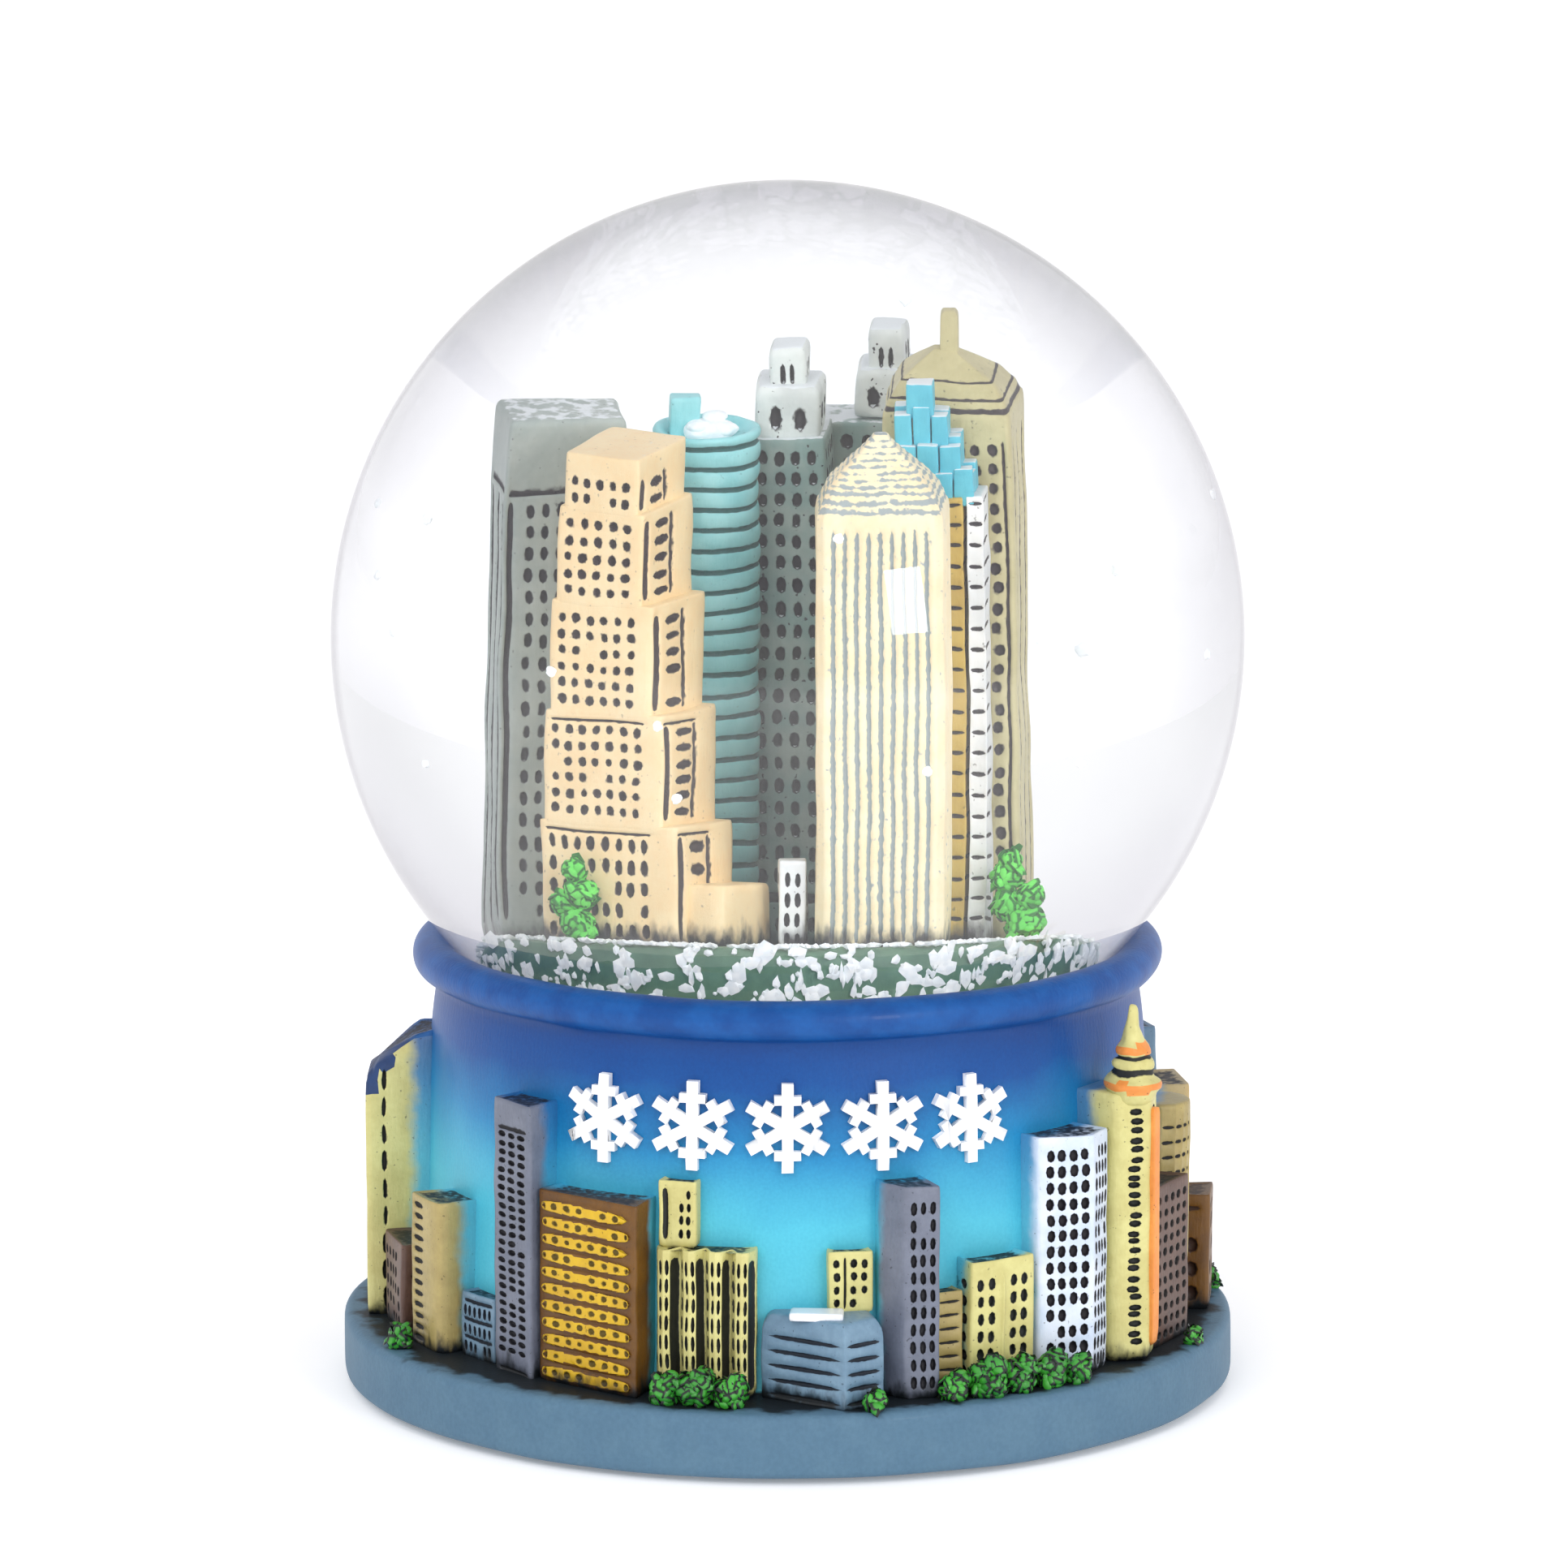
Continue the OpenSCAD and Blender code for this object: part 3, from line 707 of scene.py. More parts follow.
@dataclass(frozen=True)
class Clear:
    """Glass or water, which lets lamps through to what it holds, with painted shade and painted reflection
    towards its edge where edge stops are given.
    """

    name: str
    tint: Shade
    ior: float
    # edge stops and edge_shade_colour paint shade and reflection towards the edge
    edge: tuple[Point, ...] = ()
    edge_shade_colour: Shade = (96, 90, 104)

    def _edge_shade(self, tree: Tree) -> Socket:
        """Painted shade and painted reflection: a grey-lilac tint that darkens towards the edge in broad
        uneven patches, with a dark outline.

        Args:
            tree: the material's tree.

        Returns:
            The tint's output.
        """
        facing = place(tree, "ShaderNodeLayerWeight", {"Blend": 0.5}).outputs["Facing"]
        swirl = ramp_between(tree, speckle(tree, 26.0, detail=1.0), 0.3, 0.62)
        lean = maths(tree, "MULTIPLY_ADD", swirl, 0.65, 0.35)
        stops = [(0.3, BLACK), *((at, (share, share, share, 1)) for at, share in self.edge),
                 (0.93, WHITE)]
        darker = colour_ramp(tree, facing, stops)
        outline = ramp_between(tree, facing, 0.74, 0.88)
        shaded = maths(tree, "MULTIPLY", darker, maths(tree, "MAXIMUM", lean, outline))
        return blend(tree, shaded, linear(self.tint), linear(self.edge_shade_colour))

    def material(self) -> bpy.types.Material:
        """The clear body as a material.

        Returns:
            The material.
        """
        made, tree, shader = blank(self.name)
        tint = linear(self.tint)
        feed(tree, shader, {"Base Color": tint, "Roughness": 0.0, "IOR": self.ior,
                            "Transmission Weight": 1.0})
        # painted shade and painted reflection towards the edge
        if self.edge:
            feed(tree, shader, {"Base Color": self._edge_shade(tree)})
        through = place(tree, "ShaderNodeBsdfTransparent").outputs[0]
        shadow = place(tree, "ShaderNodeLightPath").outputs["Is Shadow Ray"]
        mix = place(tree, "ShaderNodeMixShader", {0: shadow, 1: shader.outputs[0], 2: through})
        feed(tree, tree.nodes["Material Output"], {"Surface": mix.outputs[0]})
        return made


@dataclass(frozen=True)
class Moulded:
    """Plain moulded stuff with grain: foam, rubber, adhesive or loose snow."""

    name: str
    base: Shade
    second: Shade
    roughness: float
    grain_mm: float = 0.3
    relief_mm: float = 0.05
    # glow: emission strength; on the snow it is painted light that keeps it white
    glow: float = 0.0

    def material(self) -> bpy.types.Material:
        """The stuff as a material, made once.

        Returns:
            The material.
        """
        label = f"{self.name} finish"
        if label in bpy.data.materials:
            return bpy.data.materials[label]
        made, tree, shader = blank(label)
        grain = speckle(tree, self.grain_mm, detail=4.0)
        tone = blend(tree, ramp_between(tree, grain, 0.35, 0.65), linear(self.base),
                     linear(self.second))
        feed(tree, shader, {
            "Base Color": tone,
            "Emission Color": tone,
            "Emission Strength": self.glow,
            "Roughness": self.roughness,
            "Normal": bumped(tree, 0.7, self.relief_mm, grain),
        })
        return made


# snow grains glow a little: painted light that keeps them white
GRAINS = Moulded("snow grains", (244, 247, 248), (230, 236, 240), 0.6, 0.5, 0.06, glow=0.14)


# -------- sculpting


class Strip(Enum):
    """What a strip of wall holds, along its height or its width."""

    PLAIN = "plain"
    WINDOWS = "windows"
    GROOVE = "groove"
    RIDGE = "ridge"


Strips = tuple[tuple[Strip, float], ...]


def plain(size: float) -> tuple[Strip, float]:
    """Plain strip of a size in millimetres."""
    return Strip.PLAIN, size


def windows(count: int) -> tuple[Strip, float]:
    """Run of windows, which shares out the length that is left."""
    return Strip.WINDOWS, count


def groove(size: float) -> tuple[Strip, float]:
    """Sunk strip of a size in millimetres."""
    return Strip.GROOVE, size


def ridge(size: float) -> tuple[Strip, float]:
    """Raised strip of a size in millimetres."""
    return Strip.RIDGE, size


def bays(before: float, count: int, after: float) -> Strips:
    """Run of windows between two plain strips."""
    return plain(before), windows(count), plain(after)


def lines(count: int, kind: Strip, size: float, gap: float, end: float) -> Strips:
    """Even row of grooves or ridges with plain strips between them.

    Args:
        count: how many there are.
        kind: groove or ridge.
        size: width of each.
        gap: plain width between them.
        end: plain width at both ends.

    Returns:
        The strips.
    """
    row: list[tuple[Strip, float]] = [plain(end)]
    for _ in range(count):
        row += [(kind, size), plain(gap)]
    return (*row[:-1], plain(end))


def share_out(length: float, strips: Strips) -> tuple[list[float], list[Strip]]:
    """Places strips along a length.

    Args:
        length: the length to fill.
        strips: the strips in order.

    Returns:
        Where the strips' borders are, and what each strip holds.
    """
    fixed = sum(size for kind, size in strips if kind is not Strip.WINDOWS)
    count = sum(size for kind, size in strips if kind is Strip.WINDOWS)
    stretch = length / fixed if not count else 1.0
    pitch = (length - fixed) / count if count else 0.0
    marks, kinds = [0.0], []
    for kind, size in strips:
        for _ in range(int(size) if kind is Strip.WINDOWS else 1):
            marks.append(marks[-1] + (pitch if kind is Strip.WINDOWS else size * stretch))
            kinds.append(kind)
    marks[-1] = length
    return marks, kinds


def steps_up(start: float, end: float, rise: float, count: int, stain: float = 0.5) -> tuple:
    """Crown rings of a stepped roof.

    Args:
        start: width at its foot.
        end: width at its top.
        rise: its height.
        count: number of steps.
        stain: wash on each step's inner corner.

    Returns:
        Rise, shrink and wash of each ring.
    """
    widths = [start + (end - start) * i / count for i in range(count + 1)]
    rings: list[tuple[float, float, float]] = []
    for wide, narrow in zip(widths, widths[1:]):
        rings += [(rise / count * 0.8, (wide * 0.7 + narrow * 0.3) / wide, 0.0),
                  (rise / count * 0.2, narrow / (wide * 0.7 + narrow * 0.3), stain)]
    return tuple(rings)


PLAIN_WALL: Strips = (plain(0.2), plain(1.0), plain(0.2))


@dataclass(frozen=True)
class Cut:
    """How deep and how wide the sculpting tool goes, in millimetres."""

    open: float = 0.52
    depth: float = 0.3
    line_depth: float = 0.22
    missing: float = 0.03
    jitter: float = 0.05
    crisp: float = 0.9
    rim_wash: float = 0.42


class Clay:
    """A bmesh being sculpted, with the wash layer that its paint reads."""

    def __init__(self, seed: int) -> None:
        """Starts with an empty mesh.

        Args:
            seed: seed of its random draws.
        """
        self.mesh = bmesh.new()
        self.wash = self.mesh.verts.layers.float.new("wash")
        self.crease = self.mesh.edges.layers.float.new("crease_edge")
        self.draw = random.Random(SEED + seed)

    def stain(self, faces: Iterable[Face], amount: float) -> None:
        """Sets how much wash the faces' corners hold.

        Args:
            faces: the faces.
            amount: 1 for full wash.
        """
        for face in faces:
            for vert in face.verts:
                vert[self.wash] = amount

    def wobble(self, amount: float, size: float, verts: Optional[Iterable] = None) -> None:
        """Pushes points about with smooth noise, as hand work does.

        Args:
            amount: how far they go.
            size: size of the waves.
            verts: points to push, or all.
        """
        for vert in verts or self.mesh.verts:
            vert.co += noise.noise_vector(vert.co / size + Vector((SEED, 0, 0))) * amount

    def lathe(self, profile: list[Point], centre: Point, steps: int,
              stains: Optional[list[float]] = None,
              paint: int = 0) -> list[Vert]:
        """Spins a profile round a vertical axis.

        Args:
            profile: radius and height of each point, from one end to the other.
            centre: the axis's x and y.
            steps: how many steps a turn takes.
            stains: wash of each point.
            paint: number of its paint.

        Returns:
            The new points.
        """
        mesh = self.mesh
        before = set(mesh.verts)
        column = [mesh.verts.new((centre[0] + radius, centre[1], height)) for radius, height in profile]
        for vert, stain in zip(column, stains or [0.0] * len(column)):
            vert[self.wash] = stain
        edges = [mesh.edges.new(pair) for pair in zip(column, column[1:])]
        bmesh.ops.spin(
            mesh, geom=[*column, *edges], cent=(*centre, 0), axis=(0, 0, 1), angle=math.tau,
            steps=steps,
            use_merge=True, use_normal_flip=False, use_duplicate=False,
        )
        made = [v for v in mesh.verts if v not in before]
        poles = [v for v in made if (v.co.xy - Vector(centre)).length < TOUCH]
        bmesh.ops.remove_doubles(mesh, verts=poles, dist=TOUCH)
        made = [v for v in mesh.verts if v not in before]
        faces = {f for v in made for f in v.link_faces}
        for face in faces:
            face.material_index = paint
        bmesh.ops.recalc_face_normals(mesh, faces=list(faces))
        return made

    def lump(self, centre: Vector, size: Vector, detail: int = 1, rough: float = 0.25,
             stain: float = 0.0,
             paint: int = 0) -> list[Vert]:
        """Adds an uneven pebble.

        Args:
            centre: where it lies.
            size: its half sizes.
            detail: subdivisions of the ball that it starts from.
            rough: share by which its points are pushed about.
            stain: wash of its points.
            paint: number of its paint.

        Returns:
            Its points.
        """
        made = bmesh.ops.create_icosphere(self.mesh, subdivisions=detail, radius=1.0)["verts"]
        turn = Matrix.Rotation(self.draw.uniform(0, math.tau), 3, "Z")
        for vert in made:
            pushed = vert.co * (1 + self.draw.uniform(-rough, rough))
            vert.co = centre + turn @ Vector((pushed.x * size.x, pushed.y * size.y, pushed.z * size.z))
            vert[self.wash] = stain
        for face in {f for v in made for f in v.link_faces}:
            face.material_index = paint
        return made

    def press(self, faces: list[Face], kind: Strip, cut: Cut) -> None:
        """Sinks or raises a run of faces as one.

        Args:
            faces: the run.
            kind: groove or ridge.
            cut: how deep it goes.
        """
        narrow = min(min(e.calc_length() for e in f.edges) for f in faces)
        inset = min(0.06, narrow * 0.25)
        depth = -cut.line_depth if kind is Strip.GROOVE else cut.line_depth
        bmesh.ops.inset_region(self.mesh, faces=faces, thickness=inset, depth=depth,
                               use_even_offset=False)
        if kind is Strip.GROOVE:
            self.stain(faces, 1.0)

    def window(self, face: Face, cut: Cut) -> None:
        """Cuts one window, a little uneven.

        Args:
            face: the face that it is cut in.
            cut: how wide and deep it goes.
        """
        skipped = self.draw.random() < cut.missing
        narrow = min(e.calc_length() for e in face.edges)
        margin = narrow * (1 - cut.open) / 2 * self.draw.uniform(0.8, 1.2)
        if skipped:
            return
        bmesh.ops.inset_individual(self.mesh, faces=[face], thickness=margin, use_even_offset=True)
        shift = Vector([self.draw.uniform(-1, 1) for _ in range(3)]) * cut.jitter * narrow
        shift -= face.normal * shift.dot(face.normal)
        bmesh.ops.translate(self.mesh, verts=face.verts[:], vec=shift)
        self.stain([face], cut.rim_wash)
        for edge in face.edges:
            edge[self.crease] = cut.crisp
        depth = -cut.depth * self.draw.uniform(0.7, 1.1)
        bmesh.ops.inset_individual(
            self.mesh, faces=[face], thickness=narrow * 0.07, depth=depth, use_even_offset=True
        )
        self.stain([face], self.draw.uniform(0.85, 1.2))


@dataclass
class Block:
    """A closed block whose walls carry strips of windows, grooves and ridges."""

    outline: list[Point]
    bottom: float
    top: float
    courses: Strips = PLAIN_WALL
    walls: dict[int, Strips] = field(default_factory=dict)
    cut: Cut = Cut()
    crown: tuple[tuple[float, ...], ...] = ()
    parapet: float = 0.0
    paint: int = 0
    lip: float = 0.16
    rail: float = 0.12
    roof_wash: float = 0.45

    def _ring(self) -> tuple[list[Vector], list[tuple[int, int]], list[list[Strip]]]:
        """Plans every strip border.

        Returns:
            The borders' points, each one's side and column, and what each side's columns hold.
        """
        points, tags, kinds = [], [], []
        count = len(self.outline)
        for side in range(count):
            start, end = Vector(self.outline[side]), Vector(self.outline[(side + 1) % count])
            marks, held = share_out((end - start).length, self.walls.get(side, PLAIN_WALL))
            kinds.append(held)
            for column, mark in enumerate(marks[:-1]):
                points.append(start.lerp(end, mark / marks[-1]))
                tags.append((side, column))
        return points, tags, kinds

    def build(self, clay: Clay) -> list[Vert]:
        """Raises the walls, roofs them and cuts the windows.

        Args:
            clay: what to add the block to.

        Returns:
            The block's points.
        """
        mesh = clay.mesh
        before = set(mesh.verts)
        points, tags, kinds = self._ring()
        marks, rows = share_out(self.top - self.bottom, self.courses)
        ring = [mesh.verts.new((p.x, p.y, self.bottom)) for p in points]
        edges = [mesh.edges.new((v, ring[(i + 1) % len(ring)])) for i, v in enumerate(ring)]
        floor = list(edges)
        cells: dict[tuple[int, int, int], Face] = {}
        for row in range(len(rows)):
            edges, faces = self._lift(mesh, edges, marks[row + 1] - marks[row], 1.0)
            cells.update({(*tag, row): face for tag, face in zip(tags, faces)})
        for rise, shrink, *stain in self.crown:
            edges, faces = self._lift(mesh, edges, rise, shrink)
            for vert in {v for e in edges for v in e.verts}:
                vert[clay.wash] = sum(stain)
        bmesh.ops.contextual_create(mesh, geom=floor)
        roof = bmesh.ops.contextual_create(mesh, geom=edges)["faces"]
        made = [v for v in mesh.verts if v not in before]
        everything = list({f for v in made for f in v.link_faces})
        bmesh.ops.recalc_face_normals(mesh, faces=everything)
        bmesh.ops.inset_region(mesh, faces=roof, thickness=self.lip, use_even_offset=False)
        if self.parapet:
            bmesh.ops.inset_region(
                mesh, faces=roof, thickness=self.rail, depth=-self.parapet, use_even_offset=False
            )
            clay.stain(roof, self.roof_wash)
        self._sculpt(clay, cells, kinds, rows)
        made = [v for v in mesh.verts if v not in before]
        for face in {f for v in made for f in v.link_faces}:
            face.material_index = self.paint
        return made

    @staticmethod
    def _lift(mesh: bmesh.types.BMesh, edges: list, rise: float, shrink: float) -> tuple[list, list]:
        """Extrudes a ring of edges upwards.

        Args:
            mesh: the mesh.
            edges: the ring, in order.
            rise: how far it goes up.
            shrink: scale of the new ring about its own centre.

        Returns:
            The new ring in the same order, and the faces between the two.
        """
        below = {face for edge in edges for face in edge.link_faces}
        bmesh.ops.extrude_edge_only(mesh, edges=edges)
        faces = [next(f for f in edge.link_faces if f not in below) for edge in edges]
        raised = []
        for edge, face in zip(edges, faces):
            corners = set(edge.verts)
            raised.append(next(e for e in face.edges if not corners & set(e.verts)))
        verts = list({v for e in raised for v in e.verts})
        bmesh.ops.translate(mesh, verts=verts, vec=(0, 0, rise))
        if shrink != 1.0:
            middle = sum((v.co for v in verts), Vector()) / len(verts)
            bmesh.ops.scale(mesh, verts=verts, vec=(shrink, shrink, 1),
                            space=Matrix.Translation(-middle))
        return raised, faces

    def _sculpt(self, clay: Clay, cells: dict, kinds: list[list[Strip]], rows: list[Strip]) -> None:
        """Cuts the grooves, ridges and windows.

        Args:
            clay: what the block is in.
            cells: face of each side, column and row.
            kinds: what each side's columns hold.
            rows: what each row holds.
        """
        for side, columns in enumerate(kinds):
            if side not in self.walls:
                continue
            inner = [c for c, kind in enumerate(columns) if kind is not Strip.PLAIN]
            span = range(inner[0], inner[-1] + 1) if inner else range(0)
            for row, kind in enumerate(rows):
                if kind in (Strip.GROOVE, Strip.RIDGE) and inner:
                    clay.press([cells[side, c, row] for c in span], kind, self.cut)
            for column, kind in enumerate(columns):
                run = [cells[side, column, r] for r, k in enumerate(rows) if k is Strip.WINDOWS]
                if kind in (Strip.GROOVE, Strip.RIDGE) and run:
                    clay.press(run, kind, self.cut)
                elif kind is Strip.WINDOWS:
                    for face in run:
                        clay.window(face, self.cut)


def rectangle(x0: float, x1: float, y0: float, y1: float) -> list[Point]:
    """Plan outline of a box: side 0 is its front, 1 its right, 2 its back and 3 its left."""
    return [(x0, y0), (x1, y0), (x1, y1), (x0, y1)]


def turned(verts: Iterable[Vert], at: Point, yaw: float) -> None:
    """Turns points about the origin's vertical, then moves them.

    Args:
        verts: the points.
        at: where the origin goes in plan.
        yaw: the turn in degrees.
    """
    move = Matrix.Translation((at[0], at[1], 0)) @ Matrix.Rotation(math.radians(yaw), 4, "Z")
    for vert in verts:
        vert.co = move @ vert.co


def settle(clay: Clay, name: str, finishes: list, body: str, nodes: tuple[str, ...],
           levels: int = 1, crease: float = 40.0) -> bpy.types.Object:
    """Turns clay into a finished piece that rides on its body.

    Args:
        clay: the sculpted mesh, in millimetres.
        name: the piece's name.
        finishes: its paints, by their numbers.
        body: the CAD body that it rides on.
        nodes: the CAD nodes that it stands for.
        levels: subdivisions.
        crease: angle in degrees above which an edge stays sharp.

    Returns:
        The piece's object.
    """
    bmesh.ops.scale(clay.mesh, vec=(MM, MM, MM), verts=clay.mesh.verts)
    data = bpy.data.meshes.new(name)
    clay.mesh.to_mesh(data)
    clay.mesh.free()
    data.shade_smooth()
    if not levels:
        data.set_sharp_from_angle(angle=math.radians(crease))
    for finish in finishes:
        data.materials.append(finish.material())
    piece = bpy.data.objects.new(name, data)
    bpy.context.scene.collection.objects.link(piece)
    if levels:
        rounding = piece.modifiers.new("rounding", "SUBSURF")
        rounding.levels = rounding.render_levels = levels
    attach(piece, body)
    if nodes:
        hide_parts(*nodes)
    log.info("%s: %d faces", name, len(data.polygons))
    return piece


def dress(node: str, finish) -> None:
    """Gives a CAD node that stays its finish.

    Args:
        node: the node's name.
        finish: its finish.
    """
    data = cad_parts[node].data
    data.materials.clear()
    data.materials.append(finish.material())
    log.info("%s: kept, with %s", node, finish.name)


# -------- globe


@dataclass
class GlassBall:
    """The blown globe with its neck, and the water in it."""

    steps: int = 192
    arc_steps: int = 96
    # the listed edge stops paint shade and reflection towards the globe's edge
    glass: Clear = Clear("blown glass", (254, 254, 255), 1.47,
                         ((0.42, 0.16), (0.56, 0.36), (0.69, 0.5), (0.8, 0.66)))
    water: Clear = Clear("clear water", (254, 255, 255), 1.333)

    def _arc(self, radius: float, until_r: float) -> list[Point]:
        """Profile of a ball from its top pole down to where the neck meets it.

        Args:
            radius: the ball's radius.
            until_r: the neck's radius.

        Returns:
            Points as radius and height.
        """
        end = math.pi - math.asin(until_r / radius)
        turns = [end * i / self.arc_steps for i in range(self.arc_steps + 1)]
        return [(radius * math.sin(t), GLOBE.centre_z + radius * math.cos(t)) for t in turns]

    def build(self) -> None:
        """Makes the glass and the water."""
        shell = Clay(1)
        inside = self._arc(GLOBE.inner_r, GLOBE.bore_r)
        outside = self._arc(GLOBE.outer_r, GLOBE.neck_r)
        neck = [(GLOBE.bore_r, GLOBE.neck_end_z), (GLOBE.neck_r, GLOBE.neck_end_z)]
        shell.lathe([*inside, *neck, *reversed(outside)], (0, 0), self.steps)
        settle(shell, "blown_globe", [self.glass], "globe", ("glass_globe",), levels=0)
        fill = Clay(2)
        skin = GLOBE.water_overlap
        plug_top = box_mm("skyline_mound")[0].z
        body = self._arc(GLOBE.inner_r + skin, GLOBE.bore_r + skin)
        fill.lathe([*body, (GLOBE.bore_r + skin, plug_top), (0, plug_top)], (0, 0), self.steps)
        settle(fill, "water_body", [self.water], "globe", ("water_fill",), levels=0)


# -------- base


@dataclass
class PaintedBase:
    """The cast base: plinth, drum, rim bead, and what is hidden in and under it."""

    steps: int = 176
    drum_rings: int = 14
    bead_steps: int = 18
    bead_start: float = -62
    bead_turn: float = 235
    bead_inset: float = 0.3
    seat_gap: float = 0.5
    edge_r: float = 0.7
    edge_steps: int = 5
    wave: float = 0.1
    paint: SprayedBase = SprayedBase()
    foam: Moulded = Moulded("black foam", (34, 35, 38), (24, 25, 27), 0.92, 0.2, 0.12)
    rubber: Moulded = Moulded("black rubber", (30, 30, 31), (22, 22, 23), 0.75, 0.5, 0.04)
    adhesive: Moulded = Moulded("clear adhesive", (206, 210, 212), (186, 192, 196), 0.3, 1.5, 0.04)

    def _corner(self, radius: float, height: float, start: float) -> list[Point]:
        """Quarter circle of the plinth's edge.

        Args:
            radius: radius of its centre.
            height: height of its centre.
            start: angle in degrees where it starts.

        Returns:
            Points as radius and height.
        """
        turns = [math.radians(start + 90 * i / self.edge_steps) for i in range(self.edge_steps + 1)]
        return [(radius + self.edge_r * math.cos(t), height + self.edge_r * math.sin(t)) for t in turns]

    def _profile(self) -> list[Point]:
        """Outline of the casting, from under the pad to the globe's seat.

        Returns:
            Points as radius and height.
        """
        low = box_mm("base_casting")[0].z
        edge = BASE.plinth_r - self.edge_r
        pad = box_mm("base_pad")[1]
        points = [(0.0, pad.z), (pad.x, pad.z), (pad.x, low), (edge - 2, low)]
        points += self._corner(edge, low + self.edge_r, -90)
        points += self._corner(edge, BASE.plinth_top - self.edge_r, 0)
        points += [(BASE.foot_r + 2.5, BASE.plinth_top), (BASE.foot_r + 0.5, BASE.plinth_top)]
        for i in range(self.drum_rings + 1):
            t = i / self.drum_rings
            points.append((
                BASE.drum_r + BASE.drum_flare * (1 - t) ** 3 - BASE.drum_tuck * t ** 8,
                BASE.plinth_top + BASE.rim_overlap + (BASE.rim_z - BASE.plinth_top - BASE.rim_overlap) * t,
            ))
        ring_r = BASE.drum_r - self.bead_inset
        for i in range(self.bead_steps + 1):
            turn = math.radians(self.bead_start + self.bead_turn * i / self.bead_steps)
            points.append((ring_r + BASE.bead_r * math.cos(turn),
                           BASE.bead_z + BASE.bead_r * math.sin(turn)))
        seat_r = ring_r - BASE.bead_r
        socket_r, floor = GLOBE.neck_r + self.seat_gap, box_mm("stopper")[0].z
        points += [(seat_r, BASE.bead_z - 1.2), (socket_r, BASE.bead_z - 2.6), (socket_r, floor),
                   (0.0, floor)]
        return points

    def build(self) -> None:
        """Makes the painted casting and dresses the hidden parts."""
        clay = Clay(3)
        clay.lathe(self._profile(), (0, 0), self.steps)
        outer = [v for v in clay.mesh.verts if v.co.xy.length > BASE.drum_r - 2]
        clay.wobble(self.wave, 7.0, outer)
        settle(clay, "painted_base", [self.paint], "globe", ("base_casting",), levels=1)
        dress("base_pad", self.foam)
        dress("stopper", self.rubber)
        dress("adhesive_ring", self.adhesive)


@dataclass
class Motifs:
    """The raised white snowflakes on the drum, softened as if cast and brushed over."""

    bevel: float = 0.14
    merge: float = 0.002
    flat: float = math.radians(4)
    sharp: float = math.radians(50)
    paint: Paint = Paint("brushed white", (244, 246, 248), (226, 232, 240), amount=0.4, specks=0.0,
                         roughness=0.5)

    def build(self) -> None:
        """Softens a copy of each row of snowflakes."""
        for seed, node in ((5, "snowflake_row"), (6, "rear_snowflakes")):
            clay = Clay(seed)
            source = bmesh.new()
            source.from_mesh(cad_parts[node].data)
            bmesh.ops.scale(source, vec=(1 / MM,) * 3, verts=source.verts)
            bmesh.ops.remove_doubles(source, verts=source.verts, dist=self.merge)
            bmesh.ops.dissolve_limit(
                source, angle_limit=self.flat, verts=source.verts, edges=source.edges,
                use_dissolve_boundaries=False,
            )
            sharp = [e for e in source.edges if len(e.link_faces) == 2 and e.calc_face_angle(0) > self.sharp]
            bmesh.ops.bevel(
                source, geom=sharp, offset=self.bevel, affect="EDGES", segments=2, profile=0.5,
                material=-1,
                clamp_overlap=True,
            )
            carried = bpy.data.meshes.new("carried")
            source.to_mesh(carried)
            source.free()
            clay.mesh.from_mesh(carried)
            bpy.data.meshes.remove(carried)
            clay.wobble(0.05, 1.2)
            settle(clay, f"painted_{node}", [self.paint], "globe", (node,), levels=0)


# -------- relief skyline


@dataclass(frozen=True)
class Relief:
    """One relief building: its front in plan, its walls and its paints."""

    node: str
    slot: str
    front: tuple[Point, ...]
    courses: Strips
    fronts: tuple[Strips, ...]
    paints: tuple
    flank: Optional[Strips] = None
    cut: Cut = Cut()
    parapet: float = 0.15
    crown: tuple[tuple[float, float], ...] = ()
    lift: float = 0.0
    above: float = 0.0
    wave: float = 0.1

    def outline(self) -> list[Point]:
        """Plan outline: the front facets, then round through the drum's wall.

        Returns:
            The outline's points.
        """
        outer = [polar(az, BASE.foot_r + out) for az, out in self.front]
        inner = BASE.foot_r - BASE.root
        return [*outer, polar(self.front[-1][0], inner), polar(self.front[0][0], inner)]

    def block(self, top: float) -> Block:
        """The building's main block.

        Args:
            top: height of its roof.

        Returns:
            The block.
        """
        walls = {i: strips for i, strips in enumerate(self.fronts) if strips}
        if self.flank:
            walls[len(self.front) - 1] = self.flank
            walls[len(self.front) + 1] = self.flank
        crown_rise = sum(rise for rise, _ in self.crown)
        return Block(
            self.outline(), BASE.plinth_top - BASE.sink + self.lift, top - crown_rise, self.courses,
            walls, self.cut, self.crown, self.parapet,
        )


def lobes(start: float, end: float, out: float, bulge: float, count: int,
          steps: int = 4) -> tuple[Point, ...]:
    """Front that bulges out in round lobes.

    Args:
        start: azimuth where it starts.
        end: azimuth where it ends.
        out: distance of its valleys from the drum's foot.
        bulge: how far the lobes stand out of the valleys.
        count: number of lobes.
        steps: facets in each lobe.

    Returns:
        The front's points.
    """
    shares = [i / (steps * count) for i in range(steps * count + 1)]
    return tuple(
        (start + (end - start) * t, out + bulge * abs(math.sin(math.pi * count * t)) ** 0.6) for t in shares
    )


